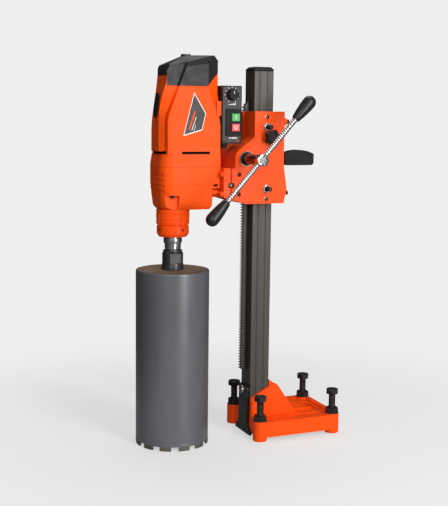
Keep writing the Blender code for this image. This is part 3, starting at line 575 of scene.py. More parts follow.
def make_base():
    low_x, high_x, half_y = -COLUMN_SEAT, 176.0, 88.0
    wall = 7
    base = prism(rounded((low_x, -half_y), (high_x, half_y), (15, 5, 5, 15)), 10, 44.5)
    pocket = block((low_x + wall, -half_y + wall, -5), (high_x - wall, half_y - wall, 36))
    tray = prism(rounded((low_x + 17, -half_y + 14), (high_x - 14, half_y - 14), 12), 41, 60)
    cut(base, pocket, tray)
    corners = [(x, y) for x in SCREW_X for y in (-SCREW_Y, SCREW_Y)]
    boss = [(0, 0), (12.5, 0), (15, 1), (16, 3.5), (16, 44), (15.3, 45.5), (0, 45.5)]
    additions = [turned(boss, (x, y, 0)) for x, y in corners]
    gusset = [(-23.2, 37), (90, 37), (88, 44), (46, 107), (41, 113), (34, 115), (-23.2, 85)]
    for side in (-1, 1):
        inner, outer = sorted((side * 23.0, side * 31.5))
        additions.append(prism(gusset, inner, outer, "Y"))
    web = [(24.2, 37), (40, 37), (40, 105), (32, 118), (24.2, 122)]
    additions.append(prism(web, -25, 25, "Y"))
    additions.append(prism(rounded((88, -14), (148, 14), 4), 36, 45.5))
    for y in (-42, 42):
        additions.append(prism(rounded((84, y - 3), (156, y + 3), 2.9), 40, 43))
    join(base, *additions)
    slot = arc((138, 0), 8, -90, 90, 12) + arc((98, 0), 8, 90, 270, 12)
    column = block((low_x - 20, -COLUMN_SEAT, -5), (COLUMN_SEAT, COLUMN_SEAT, 200))
    cutters = [column, prism(slot, 20, 60)]
    cutters += [rod(SCREW_HOLE, (x, y, -5), (x, y, 60)) for x, y in corners]
    cut(base, *cutters)
    dress(base, "base_plate_casting", "casting", "stand", ["base_casting"], 1.1, 3, 38)


def make_strap():
    bolt_z = 100
    outline = [(-41, 2), (41, 2), (36, 12), (26, 20), (22.5, 30), (22, 106), (16, 112)]
    outline += [(-16, 112), (-22, 106), (-22.5, 30), (-26, 20), (-36, 12)]
    strap = prism(outline, -30.1, -24.1, "X")
    cut(strap, rod(5.2, (-60, 0, bolt_z), (0, 0, bolt_z)))
    dress(strap, "strap_plate", "black_steel", "stand", ["column_strap"], 0.9)
    head = [(0, 6.5), (3, 6.5), (3.6, 8), (6, 7.2), (8.2, 5.2), (9.5, 2.6), (10, 0)]
    head += [(4.8, 0), (4.8, -5), (0, -5)]
    bolt = turned(head, (-30.4, 0, bolt_z), (-1, 0, 0))
    dress(bolt, "strap_button_bolt", "zinc", "stand", ["strap_bolt"], 0.3, smooth=50)


def hex_fastener(flats, low, high, centre, axis_direction=(0, 0, 1), turn=0.0):
    """A hexagon with its corners turned off, from low to high along its axis."""
    corner = flats / math.sqrt(3)
    drop = corner - flats / 2 + 0.3
    chamfer = [(0, high), (flats / 2 - 0.4, high), (corner + 0.3, high - drop * 0.75)]
    chamfer += [(corner + 0.3, low + drop * 0.75), (flats / 2 - 0.4, low), (0, low)]
    body = turned(chamfer, centre, axis_direction, 60)
    hexed = prism(hexagon(flats, turn), low - 1, high + 1)
    rotation = Vector((0, 0, 1)).rotation_difference(Vector(axis_direction).normalized()).to_matrix().to_4x4()
    hexed.data.transform(Matrix.Translation(Vector(centre) * MM) @ rotation)
    return keep(hexed, body)


def make_levellers():
    for end, x in (("front", SCREW_X[0]), ("rear", SCREW_X[1])):
        for side, y in (("near", -SCREW_Y), ("far", SCREW_Y)):
            name = f"{end}_{side}"
            stem = threaded(7.8, (x, y, 2), (x, y, 93), 2.0, 1.0)
            head = hex_fastener(SCREW_FLATS, 90.5, 101.5, (x, y, 0))
            screw = group([stem, head])
            replaced = [f"leveling_screw_{name}"]
            body = f"leveler_{name}"
            dress(screw, f"jack_screw_{name}", "black_steel", body, replaced, smooth=50)
            nut = hex_fastener(SCREW_FLATS, 47.3, 58.8, (x, y, 0), turn=15)
            flange = [(0, 48), (14.4, 48), (15.4, 47.3), (15.4, 46.1), (15.1, 45.8), (0, 45.8)]
            join(nut, turned(flange, (x, y, 0)))
            cut(nut, rod(SCREW_HOLE, (x, y, 30), (x, y, 80)))
            replaced = [f"lock_nut_{name}"]
            dress(nut, f"flange_nut_{name}", "black_steel", "stand", replaced, 0.3, smooth=40)


# ---------------------------------------------------------------- carriage


def adapter_bolt_holes():
    """The counterbore and the hole for the adapter's bolt, half in the carriage and half in the adapter."""
    return bar_along_y(6.6, *ADAPTER_BOLT, -80, -53), bar_along_y(4.4, *ADAPTER_BOLT, -80, -18)


def make_carriage():
    boss = arc((PINION_X, PINION_Z), 25.4, 180, 126.7, 14)
    outline = [(-36.5, 725), (34, 725), (33.5, 642), (33.5, 612), (41.8, 556), (35.5, 532), (35.5, 527)]
    outline += [(-56, 527), (-89, 536.5), (-89, 604), (PINION_X - 25.4, 604)] + boss + [(-36.5, 670)]
    body = prism(outline, -60, 60, "Y")
    ledge = [(-66, 603), (-38, 603), (-27, 575), (-27, 528), (-56, 528), (-88, 537.5), (-88, 603)]
    rib = rounded((-60, 566), (-28, 575), 2)
    additions = [block((-43, -8, 655), (-33.5, 16, 725)), prism(ledge, -60.7, -50, "Y")]
    additions.append(prism(rib, -61.6, -50, "Y"))
    for z in REAR_Z:
        rear_boss = [(0, 0), (8, 0), (8, 26), (7, 27.5), (0, 27.5)]
        additions.append(turned(rear_boss, (33, REAR_Y, z), (1, 0, 0)))
    join(body, *additions)
    cutters = [
        block((-30, -40, 400), (30, 40, 900)),
        block((-39.5, -4, 400), (-20, 12, 900)),
        bar_along_y(23, PINION_X, PINION_Z, -4, 12, 48),
        bar_along_y(9.5, PINION_X, PINION_Z, -90, 90),
        bar_along_y(13.3, PINION_X, PINION_Z, -90, -38, 48),
        bar_along_y(13.3, PINION_X, PINION_Z, 38, 90, 48),
        bar_along_y(4.4, LOCK_X, LOCK_Z, -90, -20),
    ]
    cutters += [bar_along_y(5.3, STUD_X, z, -90, -20) for z in ADJUSTER_Z]
    cutters += [rod(5.3, (20, REAR_Y, z), (80, REAR_Y, z)) for z in REAR_Z]
    cutters += [bar_along_y(4.9, STUD_X, z, -90, -54) for z in DOWEL_Z]
    cutters += [bar_along_y(4.9, GRUB_X, z, -90, -52) for z in GRUB_Z]
    cut(body, *cutters, *adapter_bolt_holes())
    dress(body, "carriage_casting", "casting", "carriage", ["carriage_housing"], 0.8, 2, 38)

    dome = [(0, 3.2), (1.2, 3.1), (2.2, 2.4), (2.5, 1.4), (3.2, 1.0), (4.2, 1.0), (4.4, 0), (0, 0)]
    for i, z in enumerate(DOWEL_Z):
        inset_piece = turned(dome, (STUD_X, -56.2, z), NEAR)
        dress(inset_piece, f"dowel_screw_{i + 1}", "dark_chrome", smooth=50)
    cup = [(0, -3), (1.5, -3), (1.7, 0.4), (2.9, 0.4), (3.4, 0), (3.4, -5), (0, -5)]
    for i, z in enumerate(GRUB_Z):
        grub = turned(cup, (GRUB_X, -56.5, z), NEAR)
        dress(grub, f"grub_screw_{i + 1}", "black_steel", smooth=50)


def make_adapter():
    body = prism(rounded((-105.8, 541), (-89.3, 604), 2), -56, 56, "Y")
    boss = [(0, 0), (5.4, 0), (6.4, -1), (6.4, -9), (0, -9)]
    additions = [turned(boss, (-112, y, z), (-1, 0, 0)) for z in BOLT_Z for y in (-49, 49)]
    join(body, *additions)
    cut(body, *adapter_bolt_holes())
    dress(body, "adapter_plate", "casting", "carriage", ["motor_adapter"], 1.2, 3, 38)
    seat = (ADAPTER_BOLT[0], -56.2, ADAPTER_BOLT[1])
    head = hex_fastener(10, -2.6, 2.0, seat, NEAR)
    bolt = group([head, bar_along_y(4, *ADAPTER_BOLT, -57, -22)])
    dress(bolt, "adapter_hex_bolt", "black_steel", "carriage", ["adapter_bolt"], smooth=50)
    pip = turned([(0, 3.0), (1.9, 3.0), (2.4, 2.5), (2.4, 1), (0, 1)], seat, NEAR)
    dress(pip, "adapter_bolt_pip", "zinc", smooth=50)


def make_adjusters():
    socket = [(0, -0.6), (2.3, -0.6), (2.6, 1.2), (3.6, 1.2), (4.3, 0.5), (4.3, -3), (0, -3)]
    for level, z in zip(("lower", "upper"), ADJUSTER_Z):
        thread = threaded(5.0, (STUD_X, -80.5, z), (STUD_X, -29.8, z), 1.5, 0.75, 20)
        stud = group([thread, turned(socket, (STUD_X, -80.5, z), NEAR)])
        replaced = [f"near_adjuster_{level}"]
        dress(stud, f"near_stud_{level}", "black_steel", "carriage", replaced, smooth=50)
        nut = cut(hex_fastener(15, 0.3, 5.8, (STUD_X, -60, z), NEAR), bar_along_y(5.3, STUD_X, z, -80, -50))
        washer = cut(bar_along_y(8.8, STUD_X, z, -61.4, -60.3), bar_along_y(5.4, STUD_X, z, -80, -50))
        replaced = [f"near_adjuster_nut_{level}"]
        nut = group([nut, washer])
        dress(nut, f"near_nut_{level}", "chrome", "carriage", replaced, 0.25, smooth=40)
    for level, z in zip(("lower", "upper"), REAR_Z):
        stud = threaded(5.0, (29.8, REAR_Y, z), (REAR_END, REAR_Y, z), 1.5, 0.75, 20)
        replaced = [f"rear_adjuster_{level}"]
        dress(stud, f"rear_stud_{level}", "black_steel", "carriage", replaced, smooth=50)


def make_feed():
    centre = (PINION_X, 0, PINION_Z)
    profile = [(0, 129), (7.4, 129), (8, 128.4), (8, 125), (10.4, 125), (11, 124.4), (11, 100)]
    profile += [(10.4, 99), (10.4, 96), (11, 95), (11, 64.6), (10.4, 64), (8, 64)]
    profile += [(8, -63.4), (7.4, -64), (0, -64)]
    shaft = turned(profile, centre, NEAR)
    dress(shaft, "crank_shaft", "dark_chrome", "crank", ["feed_shaft"], smooth=50)

    seat = [(8.25, 1.6), (10.4, 1.6), (11.0, 2.4), (11.6, 1.6), (11.6, 1.0), (15.2, 1.0)]
    seat += [(15.2, 2.8), (15.7, 2.8), (16, 2.4), (16, 0), (13, -0.3), (13, -21), (8.25, -21)]
    for side, way in (("near", -1), ("far", 1)):
        flange = turned(seat, (PINION_X, way * 60.3, PINION_Z), (0, way, 0), 60)
        dress(flange, f"bushing_{side}", "machined", "carriage", [f"{side}_bushing"], smooth=50)
        seal = [(11.7, 2.4), (12.2, 2.9), (14.6, 2.9), (15.1, 2.4), (15.1, 1.1), (11.7, 1.1)]
        seal = turned(seal, (PINION_X, way * 60.3, PINION_Z), (0, way, 0), 60)
        dress(seal, f"shaft_lip_{side}", "rubber", smooth=50)

    hub = [(0, 18.9), (7.9, 18.9), (9.6, 21), (11.2, 21), (12.6, 20.2), (13, 18.6), (13, 2.4)]
    hub += [(12.4, 1.2), (11.6, 0.6), (8.3, 0.6), (8.3, 4.2), (0, 4.2)]
    hub = turned(hub, (PINION_X, -125.4, PINION_Z), NEAR, 60)
    line = Vector((math.cos(CRANK_ANGLE), 0, math.sin(CRANK_ANGLE)))
    pivot = Vector((PINION_X, CRANK_Y, PINION_Z))
    cut(hub, rod(6.3, pivot - line * 40, pivot + line * 40))
    dress(hub, "crank_boss", "chrome", "crank", ["crank_hub"], smooth=40)
    disc = [(0, 19.9), (3.4, 19.9), (3.8, 19.5), (6.6, 19.5), (7, 19.1), (7, 18.7), (0, 18.7)]
    disc = turned(disc, (PINION_X, -125.4, PINION_Z), NEAR, 48)
    dress(disc, "crank_boss_plug", "dark_chrome", "crank", smooth=30)

    profile = [(0, 152)]
    steps = round(304 / RIB_PITCH) * 6
    for i in range(steps + 1):
        height = 152 - 304 * i / steps
        wave = abs(math.sin(math.pi * i / 6))
        profile.append((CRANK_BAR_RADIUS - 1.1 * (1 - wave) ** 1.5, height))
    profile.append((0, -152))
    bar = turned(profile, pivot, line, 24)
    dress(bar, "crank_ribbed_bar", "chrome", "crank", ["crank_bar"], smooth=75)

    grip = [(0, 176)]
    for i in range(1, 9):
        angle = math.radians(90 * i / 8)
        grip.append((14 * math.sin(angle), 162 + 14 * math.cos(angle)))
    for i in range(1, 15):
        share = i / 14
        grip.append((14 - 5.2 * share**1.7, 162 - 46 * share))
    grip += [(7.6, 114), (6.4, 114), (6.4, 150), (0, 150)]
    for name, way in (("upper", 1), ("lower", -1)):
        handle = turned(grip, pivot, line * way, 56)
        replaced = [f"crank_grip_{name}"]
        dress(handle, f"pear_grip_{name}", "gloss_plastic", "crank", replaced, smooth=50)


def make_lock_knob():
    centre = (LOCK_X, -64, LOCK_Z)
    outline = []
    for i in range(80):
        angle = 2 * math.pi * i / 80
        reach = 15 + 2.2 * math.cos(5 * angle)
        outline.append((LOCK_X + reach * math.cos(angle), LOCK_Z + reach * math.sin(angle)))
    knob = prism(outline, -84, -68, "Y")
    dome = [(0, 20), (9, 19.6), (14, 18.2), (18.5, 15), (18.5, 5), (13, 4), (0, 4)]
    keep(knob, turned(dome, centre, NEAR, 64))
    cut(knob, turned([(0, 21), (7, 21), (6, 18.6), (0, 18.6)], centre, NEAR))
    join(knob, bar_along_y(8, LOCK_X, LOCK_Z, -70, -64), bar_along_y(4, LOCK_X, LOCK_Z, -72, -39))
    dress(knob, "star_knob", "plastic", "lock_knob", ["lock_knob"], 0.9, 3, 35)


def make_rear_handle():
    outline = rounded((60, 607), (HANDLE_END, 641), (9, 4, 4, 7))
    top = arc((95, 562), 79, 60, 118, 16)
    body = keep(prism(outline, -13, 13, "Y"), prism([(136, 600), *top, (56, 600)], -20, 20, "Y"))
    dress(body, "tail_handle_grip", "plastic", bevel=4, segments=4, angle=50)
    profile = [(0, 0), (11, 0), (11, 4), (9, 7), (9, 25), (10, 28.5), (0, 28.5)]
    neck = turned(profile, (33.8, 0, 622), (1, 0, 0))
    dress(neck, "tail_handle_neck", "plastic", "carriage", ["rear_handle"], 0.8)


# ---------------------------------------------------------------- drill motor


def ease(value, low, high):
    """0 below low, 1 above high and smooth between them."""
    share = min(1.0, max(0.0, (value - low) / (high - low)))
    return share * share * (3 - 2 * share)


def panel_edge(z):
    """The left edge of the proud front panel, upright below and leaning in above a short bend."""
    bend = min(24.0, max(0.0, z - 699))
    return -228 + 0.4 * (bend * bend / 48 + max(0.0, z - 723))


def housing_outline(z):
    """The motor housing's section: a proud front panel, a groove, a turned-away left facet and chamfers."""
    turn = ease(z, 690, 778)
    left = -239.5 + 14 * ease(z, 680, 815)
    right = -108.4 - 2.1 * ease(z, 690, 790)
    panel = panel_edge(z)
    facet_y = -31 - 8.5 * turn
    corner_y = -19 - 19 * turn
    sweep = min(1.27, (max(0.0, z - 700) / 74) ** 2)
    corner_x = -240 + 14.3 * sweep + 0.354 * (corner_y + 19)
    facet_x = panel - 6.5 + 0.422 * (facet_y + 42)
    soft = 1.2 + 6.5 * (1 - turn)
    return [
        (panel + soft, -42),
        (right - 0.6 - 26 * turn, -42),
        (right, -39 + 11 * turn),
        (right, 30),
        (right - 12, 42),
        (left + 12, 42),
        (left + 0.5, 31),
        (corner_x, corner_y),
        (facet_x, facet_y),
        (facet_x + 1.6, facet_y + 5),
        (panel + 0.6, -42 + soft * 0.75 + 3),
        (panel, -42 + soft * 0.75),
        (panel + soft * 0.22, -42 + soft * 0.3),
    ]


def motor_form():
    heights = [633, 680] + list(range(690, 785, 5)) + [795, 805, 812, 850]
    return loft([(z, housing_outline(z)) for z in heights])


def slice_off(obj, place, normal):
    """Cuts away what lies beyond a plane and closes the cut."""
    bm = bmesh.new()
    bm.from_mesh(obj.data)
    everything = list(bm.verts) + list(bm.edges) + list(bm.faces)
    made = bmesh.ops.bisect_plane(
        bm, geom=everything, plane_co=Vector(place) * MM, plane_no=Vector(normal), clear_outer=True
    )
    edges = [item for item in made["geom_cut"] if isinstance(item, bmesh.types.BMEdge)]
    bmesh.ops.edgeloop_fill(bm, edges=edges)
    bmesh.ops.recalc_face_normals(bm, faces=bm.faces)
    bm.to_mesh(obj.data)
    bm.free()
    return obj


def make_housing():
    seam = [(-260, 600), (-90, 600), (-90, 807), (-110.5, 804.6), (-138.9, 775.7), (-260, 775.7)]
    below = prism(seam, -80, 80, "Y")
    cheek = prism([(-250, -60), (-228.3, -37.6), (-216, 60), (-250, 60)], 770, 797)
    join(below, cheek)
    body = keep(motor_form(), below)
    lower = loft([(z, gear_outline_at(z, -106.6)) for z in (606.4, 612, 624, 633.2)])
    core = prism(rounded((-230, -33), (-112, 36), 8), 625, 650)
    join(body, lower, core)
    slot = prism(rounded((-196, 633.4), (-132.5, 638.9), 1.5), -60, -34, "Y")
    emboss = prism([(-198.6, 663.7), (-173.9, 670.1), (-173.9, 671.3), (-198.6, 664.9)], -43, -41.5, "Y")
    band = prism(rounded((-260, -60), (-229, 34), 2), 633.2, 638.8)
    inside = prism(rounded((-232.5, -30), (-100, 90), 4), 630, 642)
    cut(band, inside)
    cut(body, slot, emboss, band)
    dress(body, "motor_shell", "shell", "carriage", ["motor_housing"], 0.8, 2, 28)
    # a near-black sheet just behind the vent slot: painted shade inside the slot
    vent_shade = prism(rounded((-197, 631), (-131, 641), 2), -40.9, -38.6, "Y")
    dress(vent_shade, "vent_shade_sheet", "recess_shade")
    # a near-black sheet inside the seam groove: painted shade in the groove
    seam_shade = prism(rounded((-233.4, -31), (-200, 33), 4), 632, 640)
    dress(seam_shade, "seam_shade_sheet", "recess_shade")
    tab = prism(rounded((-118.5, 714.5), (-108.1, 745.5), 1.5), -44, -28, "Y")
    dress(tab, "control_bracket_tab", "shell", bevel=0.8)


def make_end_cap():
    cap = motor_form()
    seam = [(-260, 776.1), (-138.7, 776.1), (-110.3, 805), (-90, 807.4), (-90, 900), (-260, 900)]
    above = prism(seam, -80, 80, "Y")
    cheek = prism([(-250, -60), (-227.9, -37.6), (-215.6, 60), (-250, 60)], 760, 797.4)
    cut(above, cheek)
    keep(cap, above)
    slice_off(cap, (0, 0, 840.4), (0, 0, 1))
    slice_off(cap, (CAP_STEP[0], 0, CAP_STEP[1]), (-0.875, 0, 0.486))
    slice_off(cap, (CAP_EAVE[0], 0, CAP_EAVE[1]), (-0.425, 0, 0.905))
    slice_off(cap, (-110.6, 0, 830.5), (0.68, 0, 0.73))
    for side in (-1, 1):
        strip = [(-219, 42.2 * side, 811.4), (-137.1, 42.2 * side, 823.3), (-178, 37 * side, 826.5)]
        roof = [(-220.2, 37.6 * side, 816.7), (-129.4, 37.4 * side, 837.4), (-155, 16 * side, 841.8)]
        for corners in (strip, roof):
            first, second, third = (Vector(corner) for corner in corners)
            normal = (second - first).cross(third - first)
            slice_off(cap, first, normal if normal.z > 0 else -normal)
    nub = prism(rounded((-182, -9), (-164, 9), 3), 838, 843)
    join(cap, nub)
    creases = [tube([(-222, -42.2, 811.2), (-136, -42.2, 823.7)], 1.6)]
    creases.append(tube([(-222, -38.4, 816.9), (-128, -37.6, 838.2)], 1.8))
    creases.append(block((-137.8, -60, 823.5), (-135.8, -37, 836)))
    cut(cap, *creases)
    dress(cap, "motor_hood", "hood", "carriage", ["end_cap"], 0.8, 2, 24)


def gear_outline_at(z, right):
    """The gear case's section: a broad round on the spindle side, tucked in towards its foot."""
    tuck = 11 * (1 - ease(z, 508, 524)) + 5 * (1 - ease(z, 520, 575))
    half = 42 - 0.4 * tuck - 8 * (1 - ease(z, 498, 534))
    left = -240.5 + tuck + 3.5 * ease(z, 612, 633)
    return rounded((left, -half), (right, half), (8, 9, 27, 3), 8)


def make_gear_case():
    heights = (515.4, 517.5, 520, 524, 529, 534, 545, 556, 571)
    body = loft([(z, gear_outline_at(z, -124.6 - 6 * (1 - ease(z, 512, 522)))) for z in heights])
    flange = loft([(z, gear_outline_at(z, CASE_RIGHT)) for z in (561, 575, 590, 605.9)])
    web = block((-130, -29, 541), (CASE_RIGHT, 29, 571))
    bosses = []
    for y in (-33, 33):
        for z in (551, 566):
            bosses.append(rod(5.5, (-126, y, z), (-106.6, y, z)))
    join(body, flange, web, *bosses)
    cutters = []
    for side in (-1, 1):
        inner, outer = sorted((side * 31.5, side * 60))
        cutters.append(prism(rounded((-237, inner), (-200.5, outer), 7), 500, 546.5))
        inner, outer = sorted((side * 37, side * 60))
        cutters.append(prism(rounded((-123.6, 564.4), (-113.2, 569.6), 2.3), inner, outer, "Y"))
        inner, outer = sorted((side * 40.2, side * 50))
        cutters.append(block((-213, inner, 568.6), (-126, outer, 570.6)))
    for i in range(4):
        z = 554.7 + 11.3 * i
        edge = [(x, y) for x, y in gear_outline_at(z, CASE_RIGHT) if x < -230 and y < 38]
        path = [(x - 0.7, y * 1.01, z) for x, y in edge]
        cutters.append(tube(path, 3.2))
    cut(body, *cutters)
    dress(body, "gear_case_shell", "shell", "carriage", ["gear_case"], 0.7, 2, 32)
    for i, side in enumerate((-1, 1)):
        inner, outer = sorted((side * 36.5, side * 39.4))
        # a near-black sheet inside each oblong case hole: painted shade in the hole
        inset_piece = prism(rounded((-124, 564), (-112.8, 570), 2.4), inner, outer, "Y")
        dress(inset_piece, f"case_hole_shade_{i + 1}", "recess_shade")
        socket_screw((-214, side * 36.5, 546.0), (0, 0, -1), f"flange_screw_{i + 1}", 4.4, 5)


def socket_screw(place, direction, name, radius, height=3.0):
    head = [(0, height - 2), (radius * 0.5, height - 2), (radius * 0.55, height), (radius - 0.5, height)]
    head += [(radius, height - 0.5), (radius, -2), (0, -2)]
    dress(turned(head, place, direction, 32), name, "black_steel", smooth=50)


def make_neck():
    r = 35.9
    profile = [(30.3, 515), (r, 515), (r, 508.6), (r - 0.9, 507.8), (r - 0.9, 506.6), (r, 505.8)]
    for z in (492.5, 486.5):
        profile += [(r, z + 1.4), (r - 1.3, z + 0.5), (r - 1.3, z - 0.5), (r, z - 1.4)]
    profile += [(r, 483.6), (r - 3.4, 481.6), (r - 3.4, 480.6), (r - 1.2, 478.8), (r - 1.2, 464.5)]
    profile += [(r - 1.9, 462.2), (r - 4.6, 457.6), (r - 6.4, 456), (24.3, 456), (24.3, 470), (30.3, 470)]
    neck = turned(profile, (SPINDLE_X, 0, 0), sides=96)
    collar = Vector((SPINDLE_X, 0, 472))
    cutters = []
    for i in range(4):
        angle = math.radians(18 + 90 * i)
        x, y = SPINDLE_X + 36.8 * math.cos(angle), 36.8 * math.sin(angle)
        cutters.append(rod(3.4, (x, y, 477), (x, y, 508), 24))
        out = Vector((math.cos(angle), math.sin(angle), 0))
        cutters.append(rod(3.2, collar + out * 33, collar + out * 42))
    cut(neck, *cutters)
    dress(neck, "spindle_flange_neck", "paint", "carriage", ["spindle_neck"], 0.35, 2, 30)
    for i in range(4):
        angle = math.radians(18 + 90 * i)
        out = Vector((math.cos(angle), math.sin(angle), 0))
        socket_screw(collar + out * 31.8, out, f"neck_screw_{i + 1}", 2.9)


def make_brush_cover():
    centre_y, centre_z = 1, 735.5
    oval = [(centre_y + 20 * y, centre_z + 26 * z) for y, z in ring(1, 56)]
    inner = [(centre_y + 16.5 * y, centre_z + 22 * z) for y, z in ring(1, 56)]
    cover = prism(oval, -239.4, -232, "X")
    cut(cover, prism(inner, -250, -238.8, "X"))
    cut(cover, prism(rounded((-11, 732), (13, 739), 2), -250, -238.2, "X"))
    pivot = Vector((-237.3, centre_y, centre_z)) * MM
    lean = Matrix.Rotation(math.radians(-6.4), 4, "Z") @ Matrix.Rotation(math.radians(6.6), 4, "Y")
    cover.data.transform(Matrix.Translation(pivot) @ lean @ Matrix.Translation(-pivot))
    dress(cover, "brush_door", "plastic", "carriage", ["brush_cover"], 0.5, 2, 35)


def make_label():
    kite = [(-169.5, 763), (-142.3, 719.4), (-151, 683.7), (-193.2, 671.5)]
    middle = (sum(x for x, z in kite) / 4, sum(z for x, z in kite) / 4)
    inner = [(x + (middle[0] - x) * 0.075, z + (middle[1] - z) * 0.075) for x, z in kite]
    border = cut(prism(kite, -42.35, -41.8, "Y"), prism(inner, -43, -41, "Y"))
    dress(border, "label_border", "print", bevel=0.08, segments=1)
    dress(prism(inner, -42.25, -41.8, "Y"), "label_plate", "label")
    slant = Vector((9.5, 0, 28)).normalized()
    across = Vector((0.95, 0, -0.32)).normalized()
    bars = ((0, 40, 3.2, "shell"), (7, 30, 1.4, "print"), (12, 14, 1.0, "print"))
    for i, (start, length, width, look) in enumerate(bars):
        foot = Vector((-181.5, 0, 686)) + across * start
        corners = [foot, foot + across * width, foot + across * width + slant * length, foot + slant * length]
        bar = prism([(p.x, p.z) for p in corners], -42.5, -42.2, "Y")
        dress(bar, f"label_bar_{i + 1}", look)


# ---------------------------------------------------------------- controls


def button_holes(half_width, half_height):
    """Square openings for the two buttons."""
    holes = []
    for z in BUTTON_Z:
        low = (SWITCH_X - half_width, -70, z - half_height)
        high = (SWITCH_X + half_width, -35, z + half_height)
        holes.append(block(low, high))
    return holes


def make_control_box():
    box = block((-107.8, -46, 656), (-62, 4, 778))
    inside = block((-105.3, -43.5, 658.5), (-64.5, 1.5, 775.5))
    gland_hole = rod(5.3, (*GLAND, 640), (*GLAND, 662))
    knob_hole = bar_along_y(3.4, KNOB_X, KNOB_Z, -60, -30)
    cut(box, inside, gland_hole, knob_hole, *button_holes(9.5, 8.5))
    dress(box, "control_housing", "plastic", "carriage", ["control_box"], 1.1, 3, 40)

    panel = prism(rounded((-105.6, 658.4), (-64.2, 775.6), 2), -46.45, -45.9, "Y")
    cut(panel, bar_along_y(3.6, KNOB_X, KNOB_Z, -60, -30), *button_holes(9.5, 8.5))
    dress(panel, "control_panel", "label", bevel=0.12, segments=1)

    print_front, print_back = -46.62, -46.4
    marks = []
    middle = Vector((KNOB_X, 0, KNOB_Z))
    for i in range(11):
        angle = math.radians(240 - 30 * i)
        out = Vector((math.cos(angle), 0, math.sin(angle)))
        side = Vector((-out.z, 0, out.x)) * 0.45
        start = middle + out * 14.2
        end = middle + out * (18.6 if i % 5 == 0 else 17.4)
        corners = [start - side, end - side, end + side, start + side]
        marks.append(prism([(p.x, p.z) for p in corners], print_front, print_back, "Y"))
    for i in range(5):
        left = KNOB_X - 9 + 3.8 * i
        marks.append(block((left, print_front, 737.6), (left + 2.4, print_back, 738.6 + 0.7 * i)))
    for left, width in ((-91, 4), (-85.6, 8), (-76.2, 4)):
        marks.append(block((left, print_front, 666.8), (left + width, print_back, 669.2)))
    dress(group(marks), "panel_marks", "print")
    accent = block((-74.5, print_front, 660.6), (-67, print_back, 661.8))
    dress(accent, "panel_accent", "shell")
    for i, (x, z) in enumerate(((-103, 773), (-66.8, 773), (-103, 661), (-66.8, 661))):
        socket_screw((x, -46.0, z), NEAR, f"panel_screw_{i + 1}", 1.3, 0.9)


def make_switch():
    bezel = prism(rounded((-99, 672), (-64.5, 729.5), 2.5), -50.2, -46.6, "Y")
    well = prism(rounded((-90.5, 678.2), (-65.9, 723.6), 2), -60, -48.6, "Y")
    cut(bezel, well, *button_holes(9.4, 8.4))
    dress(bezel, "switch_frame", "plastic", "carriage", ["switch_bezel"], 0.6, 2, 40)
    for name, z, look in (("start", BUTTON_Z[0], "green"), ("stop", BUTTON_Z[1], "red")):
        outline = rounded((SWITCH_X - 9.1, z - 8.1), (SWITCH_X + 9.1, z + 8.1), 1.2)
        button = prism(outline, -54, -42, "Y")
        body = f"{name}_button"
        dress(button, f"{name}_key", look, body, [body], 0.9, 3, 40)
    start_z, stop_z = BUTTON_Z
    bar = block((SWITCH_X - 0.7, -54.25, start_z - 4), (SWITCH_X + 0.7, -53.9, start_z + 4))
    dress(bar, "start_symbol", "print", "start_button")
    disc = bar_along_y(4.2, SWITCH_X, stop_z, -54.25, -53.9, 40)
    circle = cut(disc, bar_along_y(3.0, SWITCH_X, stop_z, -55, -53, 40))
    dress(circle, "stop_symbol", "print", "stop_button")


def make_speed_knob():
    outline = []
    for i in range(144):
        angle = 2 * math.pi * i / 144
        reach = 12.3 - 0.45 * (i % 6 in (0, 5))
        outline.append((KNOB_X + reach * math.cos(angle), KNOB_Z + reach * math.sin(angle)))
    knob = prism(outline, -60.2, -47.2, "Y")
    shape = [(0, 14), (9.6, 14), (10.8, 13.2), (12.6, 1.6), (12.6, 0.7), (0, 0.7)]
    keep(knob, turned(shape, (KNOB_X, -46.3, KNOB_Z), NEAR, 64))
    cut(knob, turned([(0, 20), (8.6, 20), (8, 13.1), (0, 13.1)], (KNOB_X, -46.3, KNOB_Z), NEAR))
    join(knob, rod(3, (KNOB_X, -48, KNOB_Z), (KNOB_X, -37.5, KNOB_Z)))
    dress(knob, "dial_knob", "plastic", "speed_knob", ["speed_knob"], 0.15, 1, 35)
    pointer = block((KNOB_X - 0.6, -60.0, KNOB_Z + 1.5), (KNOB_X + 0.6, -59.3, KNOB_Z + 7.6))
    dress(pointer, "dial_pointer", "print", "speed_knob")


def make_gland():
    profile = [(3.5, 669.6), (5, 669.6), (5, 655.7), (8.6, 655.7), (9, 655.3), (9, 652.2), (8.4, 651.6)]
    for i in range(3):
        z = 651 - 1.9 * i
        profile += [(7.4 - 0.6 * i, z), (7.9 - 0.6 * i, z - 0.9), (7.4 - 0.6 * i, z - 1.7)]
    profile += [(5.6, 645), (3.5, 645)]
    gland = turned(profile, (*GLAND, 0))
    dress(gland, "gland_nut", "rubber", "carriage", ["cable_gland"], smooth=50)


# ---------------------------------------------------------------- spindle and core bit


def make_spindle():
    foot = (SPINDLE_X, 0, 0)
    profile = [(0, 581), (13, 581), (13, 552), (17.5, 551), (17.5, 431), (16.7, 430), (16.7, 427.3)]
    profile += [(15.5, 427.3), (15.5, 396), (0, 396)]
    bar = turned(profile, foot, sides=64)
    dress(bar, "spindle_bar", "satin_chrome", "spindle", ["spindle"], smooth=50)
    profile = [(17.6, 452.5), (19.4, 452.5), (20, 451.9), (20, 444), (19, 442.6), (19, 441), (17.6, 441)]
    collar = turned(profile, foot, sides=64)
    dress(collar, "spindle_collar", "satin_chrome", "spindle", smooth=50)


